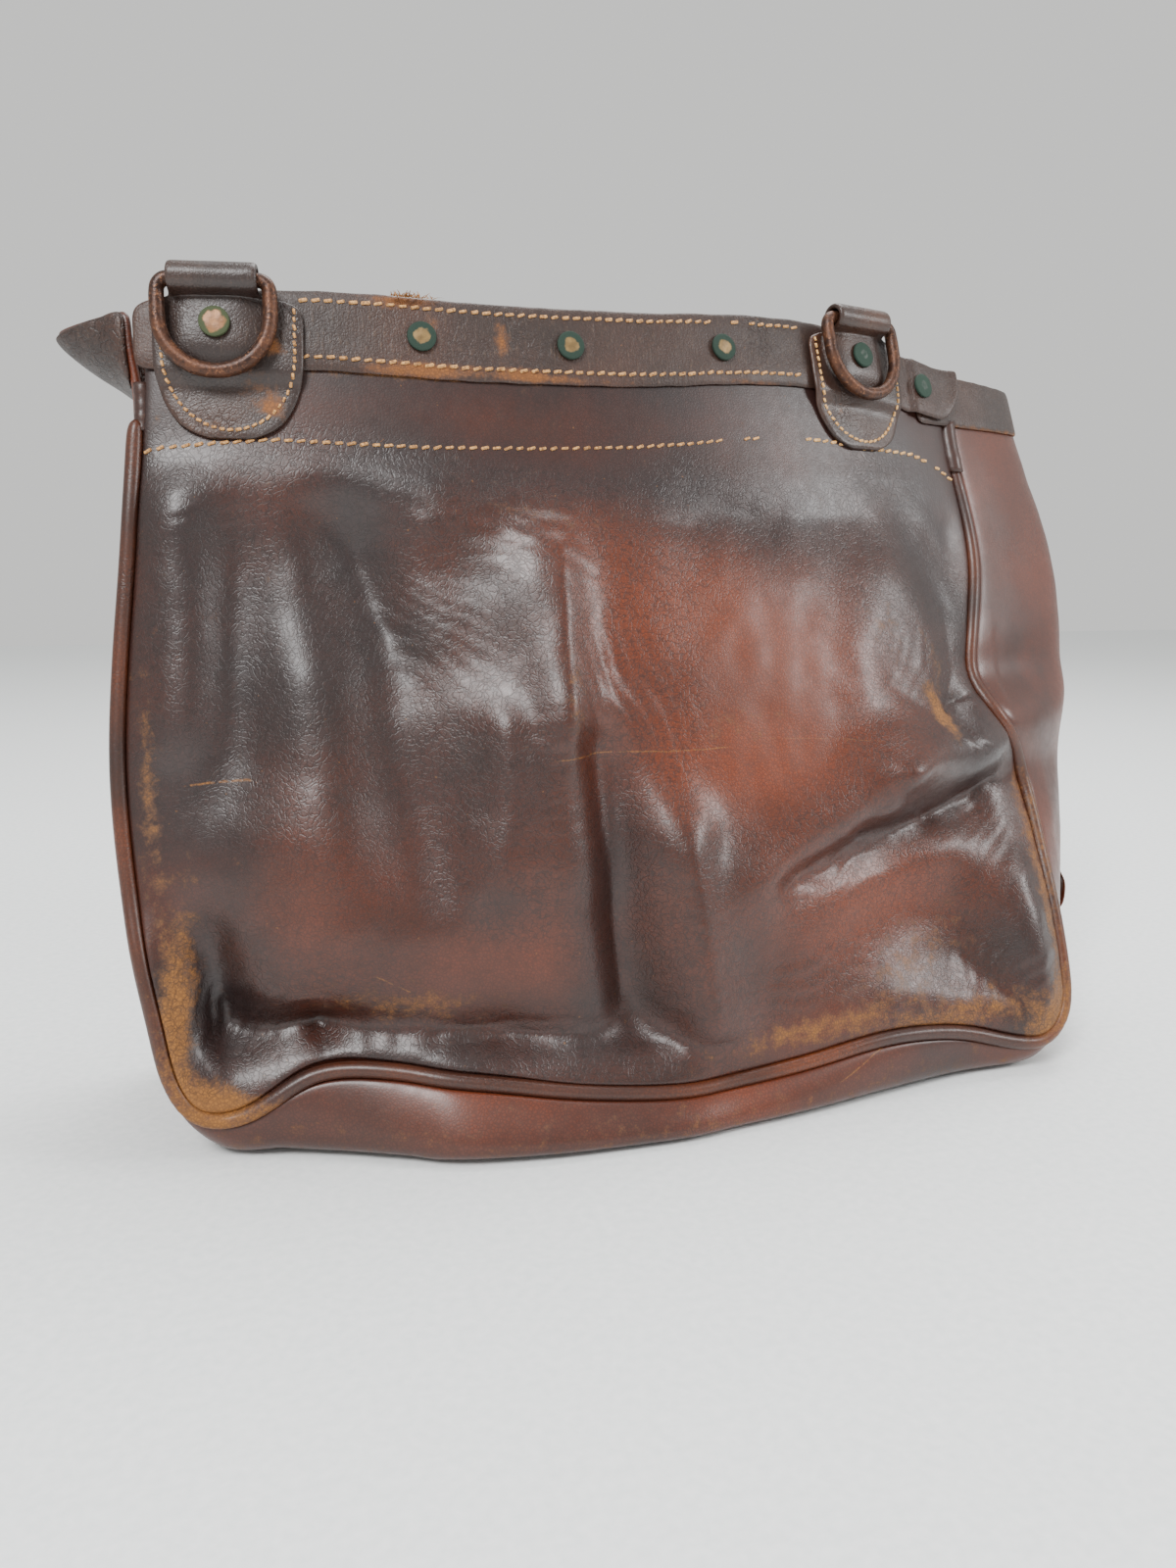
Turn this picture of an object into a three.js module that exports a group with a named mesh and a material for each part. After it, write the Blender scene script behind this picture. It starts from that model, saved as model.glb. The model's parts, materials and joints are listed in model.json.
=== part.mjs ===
// Leather mail satchel with two D-rings, standing open on a flat floor.
// Millimetres. X runs along the width, Y from the ring side (-) to the far side (+), Z up.
// The origin is on the floor under the middle of the base.
import * as THREE from 'three';

// Whole bag
const bagWidth = 438;          // base seam, left corner to right corner
const rimHeight = 357;         // floor to rim at the middle
const baseDepth = 148;         // near base seam to far base seam
const baseBow = 27;            // ends of the near base seam lie this far behind its middle
const farBaseBow = 10;         // the same for the far base seam, towards the middle
const rimBack = 11;            // middle of the near rim, measured back from the origin
const rimTwist = 68.5;         // the right end of the near rim lies this much farther back
const rimBow = 38.5;           // both ends of the near rim lie behind its middle
const mouthGapEnds = 53;       // near rim to far rim at the corners
const mouthGapMiddle = 93;     // near rim to far rim at the middle
const farCornerShift = 6;      // far rim sits this far to the left, square to the turned near rim
const foldDepth = 13;          // depth of a full fold in the panel

// Leather and seams
const panelLeather = 3;
const gussetLeather = 2.6;
const bandLeather = 2.6;
const tabLeather = 3;
const keeperLeather = 2.4;
const pipingDiameter = 5;
const clearance = 0.3;         // between pieces that touch on the real bag
const seamRoom = 1;            // edge of the leather to the piping, which bends between its points

// Rim bands
const nearBandHeight = 33;     // at the middle
const sideBandHeight = 28;
const farBandHeight = 31;
const farLap = 15;             // a side band runs this far onto the far panel
const nearLap = 23;            // and the right one this far onto the near panel
const leftBandOverhang = 1.5;  // near band past the left seam
const rightBandOverhang = -3;  // pointed end of the near band past the right seam
const pointCurl = 4;           // the pointed end lifts off the side band

// Ring tabs and rings
const tabHalfWidth = 30;
const tabLength = 61;          // below the rim
const loopHalfWidth = 17.8;
const tailHalfWidth = 13;      // rear end of the loop strap, under the tongue
const tailLength = 25;
const ringInnerWidth = 38.2;
const ringWire = 6.1;
const ringCorner = 5;          // bend at the ends of the straight bar
const ringDrop = 37;           // straight bar to the bottom of the bow, wire centres
const barAboveRim = 1;
const barClearance = 0.7;      // round the bar inside the leather loop
const ringRoom = 0.8;          // the ring's legs stand this much farther off the tongue's shoulders

// Rivets
const rivetDiameter = 12.7;
const rivetHeight = 1.8;
const tabRivetBelowRim = 16;

// Gusset keepers
const keeperWidth = 32;
const keeperHeight = 36;
const keeperStandoff = 5.6;    // clear height of its slot
const keeperAboveFloor = 75;

const leatherBrown = { color: '#6b3a28', roughness: 0.45, metalness: 0 };
const leatherRed = { color: '#7d402a', roughness: 0.45, metalness: 0 };
const leatherGrey = { color: '#55474a', roughness: 0.5, metalness: 0 };
const pipingBrown = { color: '#5a2f20', roughness: 0.5, metalness: 0 };
const rustedSteel = { color: '#7a4f3c', roughness: 0.6, metalness: 0.6 };
const agedBrass = { color: '#7d7a55', roughness: 0.55, metalness: 0.5 };

// Near seam, down the left side, along the base and up the right side.
// across is a share of bagWidth from the middle, up a share of rimHeight.
const nearSeamRows = [
  { across: -0.488, up: 0.976 }, { across: -0.492, up: 0.870 }, { across: -0.505, up: 0.700 },
  { across: -0.518, up: 0.560 }, { across: -0.524, up: 0.440 }, { across: -0.515, up: 0.270 },
  { across: -0.499, up: 0.160 }, { across: -0.490, up: 0.098 }, { across: -0.474, up: 0.064 },
  { across: -0.440, up: 0.050 }, { across: -0.405, up: 0.068 }, { across: -0.370, up: 0.098 },
  { across: -0.320, up: 0.106 }, { across: -0.215, up: 0.090 }, { across: -0.100, up: 0.066 },
  { across: 0.010, up: 0.055 }, { across: 0.120, up: 0.064 }, { across: 0.240, up: 0.080 },
  { across: 0.330, up: 0.070 }, { across: 0.400, up: 0.046 }, { across: 0.446, up: 0.041 },
  { across: 0.472, up: 0.064 }, { across: 0.479, up: 0.112 }, { across: 0.480, up: 0.240 },
  { across: 0.480, up: 0.350 }, { across: 0.472, up: 0.418 }, { across: 0.432, up: 0.478 },
  { across: 0.412, up: 0.520 }, { across: 0.418, up: 0.590 }, { across: 0.440, up: 0.670 },
  { across: 0.444, up: 0.740 }, { across: 0.430, up: 0.830 }, { across: 0.426, up: 0.890 },
  { across: 0.436, up: 0.967 },
];
const nearLeftCorner = 8;
const nearRightCorner = 20;

// Far seam, with the same columns. It is hidden from the front and has plain round corners.
const farSeamRows = [
  { across: -0.484, up: 0.976 }, { across: -0.492, up: 0.870 }, { across: -0.502, up: 0.650 },
  { across: -0.510, up: 0.400 }, { across: -0.508, up: 0.180 }, { across: -0.490, up: 0.085 },
  { across: -0.450, up: 0.050 }, { across: -0.300, up: 0.046 }, { across: 0.000, up: 0.046 },
  { across: 0.300, up: 0.046 }, { across: 0.440, up: 0.052 }, { across: 0.478, up: 0.090 },
  { across: 0.492, up: 0.180 }, { across: 0.490, up: 0.400 }, { across: 0.460, up: 0.650 },
  { across: 0.440, up: 0.870 }, { across: 0.436, up: 0.985 },
];
const farLeftCorner = 5;
const farRightCorner = 11;

// Height of the near rim band along the width, as a share of nearBandHeight.
const nearBandRows = [
  { across: -0.50, tall: 0.82 }, { across: -0.40, tall: 1.00 }, { across: 0.20, tall: 1.00 },
  { across: 0.38, tall: 0.85 }, { across: 0.50, tall: 0.85 },
];

// Height of the near rim along the width.
const rimRows = [
  { across: -0.52, up: 0.970 }, { across: -0.45, up: 0.990 }, { across: -0.33, up: 1.000 },
  { across: -0.17, up: 0.995 }, { across: 0.00, up: 1.000 }, { across: 0.12, up: 1.012 },
  { across: 0.22, up: 1.014 }, { across: 0.31, up: 1.000 }, { across: 0.38, up: 0.976 },
  { across: 0.48, up: 0.962 },
];

// Folds of the near panel: ridges (+) and valleys (-) from one place to another.
// wide is a share of bagWidth, proud a share of foldDepth.
const foldRows = [
  { from: [-0.46, 0.775], to: [-0.22, 0.785], wide: 0.035, proud: 0.45 },
  { from: [-0.455, 0.74], to: [-0.46, 0.50], wide: 0.030, proud: 0.60 },
  { from: [-0.41, 0.70], to: [-0.42, 0.45], wide: 0.035, proud: -0.50 },
  { from: [-0.30, 0.70], to: [-0.25, 0.37], wide: 0.048, proud: -0.85 },
  { from: [-0.17, 0.50], to: [-0.18, 0.31], wide: 0.024, proud: 0.50 },
  { from: [-0.124, 0.69], to: [-0.097, 0.32], wide: 0.030, proud: 0.80 },
  { from: [-0.072, 0.45], to: [-0.043, 0.15], wide: 0.028, proud: -0.65 },
  { from: [0.000, 0.36], to: [0.030, 0.13], wide: 0.035, proud: 0.70 },
  { from: [0.42, 0.455], to: [0.26, 0.425], wide: 0.035, proud: 0.80 },
  { from: [0.26, 0.425], to: [0.08, 0.29], wide: 0.035, proud: 0.65 },
  { from: [0.46, 0.380], to: [0.26, 0.355], wide: 0.024, proud: -0.80 },
  { from: [0.26, 0.355], to: [0.13, 0.30], wide: 0.024, proud: -0.60 },
  { from: [0.40, 0.535], to: [0.36, 0.490], wide: 0.030, proud: -0.90 },
  { from: [0.315, 0.67], to: [0.375, 0.53], wide: 0.020, proud: 0.40 },
  { from: [0.40, 0.76], to: [0.39, 0.64], wide: 0.040, proud: -0.45 },
  { from: [0.22, 0.22], to: [0.33, 0.23], wide: 0.055, proud: -0.55 },
  { from: [0.44, 0.20], to: [0.45, 0.10], wide: 0.060, proud: 1.00 },
  { from: [-0.33, 0.155], to: [-0.17, 0.138], wide: 0.030, proud: -0.65 },
  { from: [-0.17, 0.138], to: [0.005, 0.112], wide: 0.030, proud: -0.45 },
  { from: [-0.24, 0.100], to: [0.00, 0.068], wide: 0.022, proud: 0.40 },
  { from: [-0.45, 0.26], to: [-0.435, 0.155], wide: 0.026, proud: -0.85 },
  { from: [-0.435, 0.150], to: [-0.35, 0.145], wide: 0.028, proud: -1.00 },
  { from: [-0.50, 0.25], to: [-0.475, 0.08], wide: 0.020, proud: 0.55 },
  { from: [-0.36, 0.36], to: [-0.35, 0.27], wide: 0.060, proud: 0.55 },
  { from: [-0.20, 0.45], to: [0.25, 0.45], wide: 0.220, proud: 0.90 },
];
const flatAbove = { from: 0.745, to: 0.795 };    // the panel is flat behind the rim, shares of rimHeight

// Middle of each side gusset, by height: how far out it stands from the middle of the bag,
// as a share of bagWidth. Past the seams it is a ridge, short of them a hollow.
const leftGussetRows = [
  { up: 0.00, out: 0.490 }, { up: 0.20, out: 0.500 }, { up: 0.35, out: 0.480 }, { up: 0.55, out: 0.450 },
  { up: 0.75, out: 0.435 }, { up: 0.84, out: 0.440 }, { up: 0.885, out: 0.475 }, { up: 0.915, out: 0.505 },
  { up: 0.945, out: 0.543 }, { up: 1.00, out: 0.585 },
];
const rightGussetRows = [
  { up: 0.00, out: 0.500 }, { up: 0.10, out: 0.525 }, { up: 0.22, out: 0.556 }, { up: 0.36, out: 0.588 },
  { up: 0.52, out: 0.606 }, { up: 0.66, out: 0.620 }, { up: 0.76, out: 0.609 }, { up: 0.88, out: 0.578 },
  { up: 1.00, out: 0.565 },
];
const leftBeakDrop = 7;        // the folded gusset top sinks towards its point
const rightBeakDrop = 5;
const ridgeRoundness = 0.5;    // of the gusset's fold, as a share of half the gusset's width

// Belly of the base in front of the near seam, by place along the width, shares of baseDepth.
const bellyRows = [
  { across: -0.50, forward: -0.04 }, { across: -0.42, forward: 0.06 }, { across: -0.33, forward: 0.17 },
  { across: -0.20, forward: 0.24 }, { across: -0.05, forward: 0.22 }, { across: 0.10, forward: 0.18 },
  { across: 0.25, forward: 0.12 }, { across: 0.40, forward: 0.05 }, { across: 0.50, forward: 0.00 },
];
const bellyShare = 0.14;       // the base reaches the floor this far behind the seam, share of baseDepth

const smooth = THREE.MathUtils.smoothstep;
const mix = THREE.MathUtils.lerp;
const clamp = THREE.MathUtils.clamp;

// Value of a column at a place, along a smooth curve through the rows.
function readRows(rows, key, column, at) {
  let i = 0;
  while (i < rows.length - 2 && at > rows[i + 1][key]) i += 1;
  const a = rows[Math.max(i - 1, 0)];
  const b = rows[i];
  const c = rows[i + 1];
  const d = rows[Math.min(i + 2, rows.length - 1)];
  const t = clamp((at - b[key]) / (c[key] - b[key]), 0, 1);
  const slopeB = (c[column] - a[column]) / (c[key] - a[key]);
  const slopeC = (d[column] - b[column]) / (d[key] - b[key]);
  const span = c[key] - b[key];
  const t2 = t * t;
  const t3 = t2 * t;
  return b[column] * (2 * t3 - 3 * t2 + 1) + c[column] * (3 * t2 - 2 * t3)
    + span * (slopeB * (t3 - 2 * t2 + t) + slopeC * (t3 - t2));
}

const nearBandTall = (x) => nearBandHeight * readRows(nearBandRows, 'across', 'tall', x / bagWidth);
const rimAt = (x) => rimHeight * readRows(rimRows, 'across', 'up', x / bagWidth);

// How far the near panel stands towards the viewer at a place.
function foldsAt(x, z) {
  const q = x / bagWidth;
  const v = z / rimHeight;
  const tall = rimHeight / bagWidth;
  let sum = 0;
  for (const fold of foldRows) {
    const dx = fold.to[0] - fold.from[0];
    const dz = (fold.to[1] - fold.from[1]) * tall;
    const px = q - fold.from[0];
    const pz = (v - fold.from[1]) * tall;
    const t = clamp((px * dx + pz * dz) / (dx * dx + dz * dz), 0, 1);
    const away = Math.hypot(px - dx * t, pz - dz * t) / fold.wide;
    sum += fold.proud * Math.exp(-away * away);
  }
  return foldDepth * sum * (1 - smooth(v, flatAbove.from, flatAbove.to));
}

function nearDepth(x, z) {
  const q = x / bagWidth;
  const base = -baseDepth * 0.486 + 4 * baseBow * q * q;
  const rim = rimBack + rimTwist * q + 4 * rimBow * q * q;
  return mix(base, rim, z / rimHeight) - foldsAt(x, z);
}

function farDepth(x, z) {
  const q = x / bagWidth;
  const base = baseDepth * 0.5 - 4 * farBaseBow * q * q;
  const near = rimBack + rimTwist * q + 4 * rimBow * q * q;
  const rim = near + mouthGapMiddle - (mouthGapMiddle - mouthGapEnds) * 4 * q * q;
  return mix(base, rim, z / rimHeight);
}

// A panel is a sheet of leather over (x, z); side is -1 for the near one and +1 for the far one.
const nearSheet = { depth: nearDepth, side: -1 };
const farSheet = { depth: farDepth, side: 1 };

function onPanel(panel, x, z) {
  const step = 0.5;
  const slopeX = (panel.depth(x + step, z) - panel.depth(x - step, z)) / (2 * step);
  const slopeZ = (panel.depth(x, z + step) - panel.depth(x, z - step)) / (2 * step);
  const normal = new THREE.Vector3(-slopeX, 1, -slopeZ).normalize().multiplyScalar(panel.side);
  return { point: new THREE.Vector3(x, panel.depth(x, z), z), normal };
}

// Closed solid between two grids of points, outer and inner, with walls round the edge.
function solidFromGrids(outer, inner) {
  const rows = outer.length;
  const cols = outer[0].length;
  const positions = [];
  for (const grid of [outer, inner]) {
    for (const row of grid) {
      for (const p of row) positions.push(p.x, p.y, p.z);
    }
  }
  const index = [];
  const quad = (a, b, c, d) => index.push(a, b, c, a, c, d);
  const top = (i, j) => i * cols + j;
  const low = (i, j) => rows * cols + i * cols + j;
  for (let i = 0; i < rows - 1; i += 1) {
    for (let j = 0; j < cols - 1; j += 1) {
      quad(top(i, j), top(i, j + 1), top(i + 1, j + 1), top(i + 1, j));
      quad(low(i, j), low(i + 1, j), low(i + 1, j + 1), low(i, j + 1));
    }
  }
  for (let j = 0; j < cols - 1; j += 1) {
    quad(top(0, j), low(0, j), low(0, j + 1), top(0, j + 1));
    quad(top(rows - 1, j), top(rows - 1, j + 1), low(rows - 1, j + 1), low(rows - 1, j));
  }
  for (let i = 0; i < rows - 1; i += 1) {
    quad(top(i, 0), top(i + 1, 0), low(i + 1, 0), low(i, 0));
    quad(top(i, cols - 1), low(i, cols - 1), low(i + 1, cols - 1), top(i + 1, cols - 1));
  }
  const geometry = new THREE.BufferGeometry();
  geometry.setAttribute('position', new THREE.Float32BufferAttribute(positions, 3));
  geometry.setIndex(index);
  geometry.computeVertexNormals();
  return geometry;
}

// Leather of one thickness on a grid of places, lifted off them by lift to its inner face.
function leatherOn(places, lift, thickness) {
  const liftAt = typeof lift === 'function' ? lift : () => lift;
  const face = (extra) => places.map((row) => row.map((place) => (
    place.point.clone().addScaledVector(place.normal, liftAt(place) + extra))));
  return solidFromGrids(face(thickness), face(0));
}

const bag = new THREE.Group();
function addPiece(name, geometry, look, parent = bag) {
  const mesh = new THREE.Mesh(geometry, new THREE.MeshStandardMaterial(look));
  mesh.name = name;
  parent.add(mesh);
  return mesh;
}

// Seams
const sideSteps = 17;          // of the gusset, down one side below the band
const bandSteps = 3;           // of the gusset, behind the band
const baseSteps = 30;
const densePoints = 400;

function seamCurve(rows) {
  const points = rows.map((row) => new THREE.Vector3(row.across * bagWidth, 0, row.up * rimHeight));
  return new THREE.CatmullRomCurve3(points, false, 'centripetal');
}

// Points of a stretch of the curve at the given distances along it.
function pointsAlong(curve, from, to, distancesFor) {
  const dense = [];
  for (let i = 0; i <= densePoints; i += 1) dense.push(curve.getPoint(mix(from, to, i / densePoints)));
  const lengths = [0];
  for (let i = 1; i < dense.length; i += 1) lengths.push(lengths[i - 1] + dense[i].distanceTo(dense[i - 1]));
  const total = lengths[densePoints];
  return distancesFor(total).map((distance) => {
    let i = 1;
    while (i < densePoints && lengths[i] < distance) i += 1;
    const t = clamp((distance - lengths[i - 1]) / (lengths[i] - lengths[i - 1]), 0, 1);
    return dense[i - 1].clone().lerp(dense[i], t);
  });
}

const even = (count) => (total) => Array.from({ length: count + 1 }, (_, i) => total * i / count);
function bandThenEven(total) {
  const band = Array.from({ length: bandSteps }, (_, i) => sideBandHeight * i / bandSteps);
  const rest = Array.from({ length: sideSteps + 1 }, (_, i) => mix(sideBandHeight, total, i / sideSteps));
  return [...band, ...rest];
}
const evenThenBand = (total) => bandThenEven(total).map((d) => total - d).reverse();

function seamParts(rows, leftCorner, rightCorner) {
  const curve = seamCurve(rows);
  const last = rows.length - 1;
  const left = pointsAlong(curve, 0, leftCorner / last, bandThenEven);
  const base = pointsAlong(curve, leftCorner / last, rightCorner / last, even(baseSteps));
  const right = pointsAlong(curve, rightCorner / last, 1, evenThenBand);
  return [...left, ...base.slice(1), ...right.slice(1)];
}

const sideRows = bandSteps + sideSteps;
const rightStart = sideRows + baseSteps;
const nearSeamFlat = seamParts(nearSeamRows, nearLeftCorner, nearRightCorner);
const farSeamFlat = seamParts(farSeamRows, farLeftCorner, farRightCorner);
const seamCount = nearSeamFlat.length;

// Far rim slides left with height, because the near rim is turned.
const farShift = (z) => -farCornerShift * Math.max(z / rimHeight, 0);
const nearSeam = nearSeamFlat.map((p) => new THREE.Vector3(p.x, nearDepth(p.x, p.z), p.z));
const farSeam = farSeamFlat.map((p) => {
  const x = p.x + farShift(p.z);
  return new THREE.Vector3(x, farDepth(x, p.z), p.z);
});

// Unit vector in the (x, z) plane that points into the panel from its seam.
function inward(seam, i) {
  const a = seam[Math.max(i - 1, 0)];
  const b = seam[Math.min(i + 1, seam.length - 1)];
  return new THREE.Vector3(-(b.z - a.z), 0, b.x - a.x).normalize();
}

// Panels: a grid that fills the seam outline, held back from the piping.
const seamSetback = pipingDiameter / 2 + seamRoom;

function panelPlaces(panel, seam, topAt, every) {
  const edge = seam.map((p, i) => p.clone().addScaledVector(inward(seam, i), seamSetback));
  const some = (points) => points.filter((_, i) => i % every === 0);
  const left = some(edge.slice(0, sideRows + 1).reverse());
  const base = some(edge.slice(sideRows, rightStart + 1));
  const right = some(edge.slice(rightStart));
  const rows = left.length - 1;
  const columns = base.length - 1;
  const leftTop = left[rows];
  const rightTop = right[rows];
  const places = [];
  for (let i = 0; i <= rows; i += 1) {
    const v = (left[i].z - left[0].z) / (leftTop.z - left[0].z);
    const row = [];
    for (let j = 0; j <= columns; j += 1) {
      const u = j / columns;
      const topX = mix(leftTop.x, rightTop.x, u);
      const topZ = topAt(topX) + (1 - u) * (leftTop.z - topAt(leftTop.x)) + u * (rightTop.z - topAt(rightTop.x));
      const cornerX = (1 - u) * mix(base[0].x, leftTop.x, v) + u * mix(base[columns].x, rightTop.x, v);
      const cornerZ = (1 - u) * mix(base[0].z, leftTop.z, v) + u * mix(base[columns].z, rightTop.z, v);
      const x = mix(base[j].x, topX, v) + mix(left[i].x, right[i].x, u) - cornerX;
      const z = mix(base[j].z, topZ, v) + mix(left[i].z, right[i].z, u) - cornerZ;
      row.push(onPanel(panel, x, z));
    }
    places.push(panel.side < 0 ? row : row.reverse());
  }
  return places;
}

const farTop = () => rimHeight * farSeamRows[0].up;
const ringPanelPlaces = panelPlaces(nearSheet, nearSeam, rimAt, 1);
addPiece('ring_panel', leatherOn(ringPanelPlaces, -panelLeather / 2, panelLeather), leatherBrown);
const farPanelPlaces = panelPlaces(farSheet, farSeam, farTop, 2);
addPiece('far_panel', leatherOn(farPanelPlaces, -panelLeather / 2, panelLeather), leatherBrown);

// Gusset: one strip down the left side, under the base and up the right side.
const acrossShares = [0, 0.06, 0.15, 0.34, 0.5, 0.66, 0.85, 0.94, 1];
const gussetFloor = gussetLeather / 2;

function ridge(w) {
  const side = 2 * w - 1;
  const r = ridgeRoundness;
  return 1 - (Math.hypot(side, r) - r) / (Math.hypot(1, r) - r);
}

// 0 where the seam runs up a side, 1 where it runs along the base
const baseShare = (seam, i) => smooth(inward(seam, i).z, 0.45, 0.95);

function gussetPoint(i, w) {
  const a = nearSeam[i];
  const b = farSeam[i];
  const p = a.clone().lerp(b, w);
  const under = mix(baseShare(nearSeam, i), baseShare(farSeam, i), w);
  const rows = i < seamCount / 2 ? leftGussetRows : rightGussetRows;
  const up = clamp(p.z / rimHeight, 0, 1);
  const outside = bagWidth * readRows(rows, 'up', 'out', up) - Math.abs(p.x);
  const side = outside > 0 ? outside * ridge(w) : outside * Math.sin(Math.PI * w) ** 2;
  p.x += Math.sign(p.x) * side * (1 - under);
  const nearEdge = clamp(w / bellyShare, 0, 1);
  const farEdge = clamp((1 - w) / bellyShare, 0, 1);
  const fall = Math.min(1 - (1 - nearEdge) ** 2, 1 - (1 - farEdge) ** 2);
  const drop = (p.z - gussetFloor) * fall * under;
  p.z -= drop;
  const cornerward = smooth(Math.abs(a.x) / bagWidth, 0.43, 0.47);
  p.x += mix(inward(nearSeam, i).x, inward(farSeam, i).x, w) * drop * cornerward
    * smooth(w, 0.03, 0.2) * smooth(1 - w, 0.03, 0.4);
  const forward = baseDepth * readRows(bellyRows, 'across', 'forward', a.x / bagWidth);
  p.y -= forward * Math.sin(Math.PI * clamp(w / (2 * bellyShare), 0, 1)) * under;
  const beak = i < seamCount / 2 ? leftBeakDrop : rightBeakDrop;
  p.z -= beak * ridge(w) * smooth(up, 0.8, 1);
  p.z = Math.max(p.z, gussetFloor);
  return p;
}

function gussetRow(i) {
  const reach = 0.01;
  const nearSpeed = gussetPoint(i, reach).distanceTo(gussetPoint(i, 0)) / reach;
  const farSpeed = gussetPoint(i, 1 - reach).distanceTo(gussetPoint(i, 1)) / reach;
  const start = seamSetback / nearSpeed;
  const end = 1 - seamSetback / farSpeed;
  return acrossShares.map((share) => gussetPoint(i, mix(start, end, share)));
}

function withNormals(grid, sign) {
  const rows = grid.length;
  const cols = grid[0].length;
  return grid.map((row, i) => row.map((point, j) => {
    const alongI = grid[Math.min(i + 1, rows - 1)][j].clone().sub(grid[Math.max(i - 1, 0)][j]);
    const alongJ = row[Math.min(j + 1, cols - 1)].clone().sub(row[Math.max(j - 1, 0)]);
    return { point, normal: alongJ.cross(alongI).normalize().multiplyScalar(sign) };
  }));
}

const gussetGrid = Array.from({ length: seamCount }, (_, i) => gussetRow(i));
const gussetPlaces = withNormals(gussetGrid, 1);
addPiece('gusset', leatherOn(gussetPlaces, -gussetLeather / 2, gussetLeather), leatherRed);

// Round bar along points; across is a direction square to the path at each of them.
function sweptBar(points, across, diameter, sides, closed) {
  const count = points.length;
  const rings = points.map((point, i) => {
    const before = closed ? points[(i + count - 1) % count] : points[Math.max(i - 1, 0)];
    const after = closed ? points[(i + 1) % count] : points[Math.min(i + 1, count - 1)];
    const along = after.clone().sub(before).normalize();
    const first = across[i].clone().addScaledVector(along, -across[i].dot(along)).normalize();
    const second = along.clone().cross(first);
    return Array.from({ length: sides }, (_, k) => {
      const angle = 2 * Math.PI * k / sides;
      return point.clone().addScaledVector(first, diameter / 2 * Math.cos(angle))
        .addScaledVector(second, diameter / 2 * Math.sin(angle));
    });
  });
  const positions = rings.flat().flatMap((p) => [p.x, p.y, p.z]);
  const index = [];
  const spans = closed ? count : count - 1;
  for (let i = 0; i < spans; i += 1) {
    const next = (i + 1) % count;
    for (let k = 0; k < sides; k += 1) {
      const l = (k + 1) % sides;
      index.push(i * sides + k, i * sides + l, next * sides + l, i * sides + k, next * sides + l, next * sides + k);
    }
  }
  for (let k = 1; k < sides - 1 && !closed; k += 1) {
    const end = (count - 1) * sides;
    index.push(0, k + 1, k, end, end + k, end + k + 1);
  }
  const geometry = new THREE.BufferGeometry();
  geometry.setAttribute('position', new THREE.Float32BufferAttribute(positions, 3));
  geometry.setIndex(index);
  geometry.computeVertexNormals();
  return geometry;
}

// Piping in both seams, up to just below the band
function pipingAlong(seam) {
  const first = bandSteps + 1;
  const points = seam.slice(first, seam.length - first);
  const across = points.map((_, i) => inward(seam, i + first));
  return sweptBar(points, across, pipingDiameter, 6, false);
}
addPiece('near_piping', pipingAlong(nearSeam), pipingBrown);
addPiece('far_piping', pipingAlong(farSeam), pipingBrown);

// Side bands: a strip round the top of the gusset that laps onto the panels
const onLeather = panelLeather / 2 + clearance;
const lapShares = [1, 0.5, 0.05];

function lapColumns(panel, seam, i, lap) {
  return lapShares.map((share) => {
    const p = seam[i].clone().addScaledVector(inward(seam, i), seamSetback + lap * share);
    return onPanel(panel, p.x, p.z);
  });
}

// The band turns round a seam on a line through it, as far out as its two faces meet.
function cornerColumn(point, a, b) {
  const normal = a.clone().add(b).normalize();
  return { point, normal: normal.divideScalar(Math.max(normal.dot(a), 0.5)) };
}

function sideBandPlaces(firstRow, lastRow, withNearLap) {
  const places = [];
  for (let i = firstRow; i <= lastRow; i += 1) {
    const gussetRowPlaces = gussetPlaces[i];
    const near = withNearLap ? lapColumns(nearSheet, nearSeam, i, nearLap) : [];
    const far = lapColumns(farSheet, farSeam, i, farLap).reverse();
    const last = gussetRowPlaces[gussetRowPlaces.length - 1];
    const row = [...gussetRowPlaces, cornerColumn(farSeam[i], last.normal, far[0].normal), ...far];
    if (withNearLap) row.unshift(...near, cornerColumn(nearSeam[i], near[2].normal, gussetRowPlaces[0].normal));
    places.push(row);
  }
  return places;
}

const leftBandPlaces = sideBandPlaces(0, bandSteps, false);
addPiece('left_side_band', leatherOn(leftBandPlaces, onLeather, bandLeather), leatherGrey);
const rightBandPlaces = sideBandPlaces(seamCount - 1 - bandSteps, seamCount - 1, true);
addPiece('right_side_band', leatherOn(rightBandPlaces, onLeather, bandLeather), leatherGrey);

// Rim bands along the panels. They step up over the ends of the side bands.
const nearTopLeft = nearSeam[0];
const nearTopRight = nearSeam[seamCount - 1];
const overSideBand = bandLeather + clearance;
const stepLength = 5;
const lapEnd = (lap) => seamSetback + lap + 2 * clearance;
const stepAt = (x, start) => overSideBand * smooth(x, start, start + stepLength);

const pointStart = nearTopRight.x - farLap;
const pointEnd = nearTopRight.x + rightBandOverhang;
const pointAt = (x) => clamp((x - pointStart) / (pointEnd - pointStart), 0, 1);
const rightSeamX = Math.min(...nearSeam.slice(seamCount - 1 - bandSteps).map((p) => p.x));
const nearStep = rightSeamX - lapEnd(nearLap) - stepLength;
const nearBandLift = (x) => onLeather + stepAt(x, nearStep) + pointCurl * pointAt(x) ** 2;

function bandPlaces(panel, columns, topAt, bottomAt) {
  const places = [];
  for (let i = 0; i <= bandSteps; i += 1) {
    const row = columns.map((x) => onPanel(panel, x, mix(bottomAt(x), topAt(x), i / bandSteps)));
    places.push(panel.side < 0 ? row : row.reverse());
  }
  return places;
}

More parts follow.
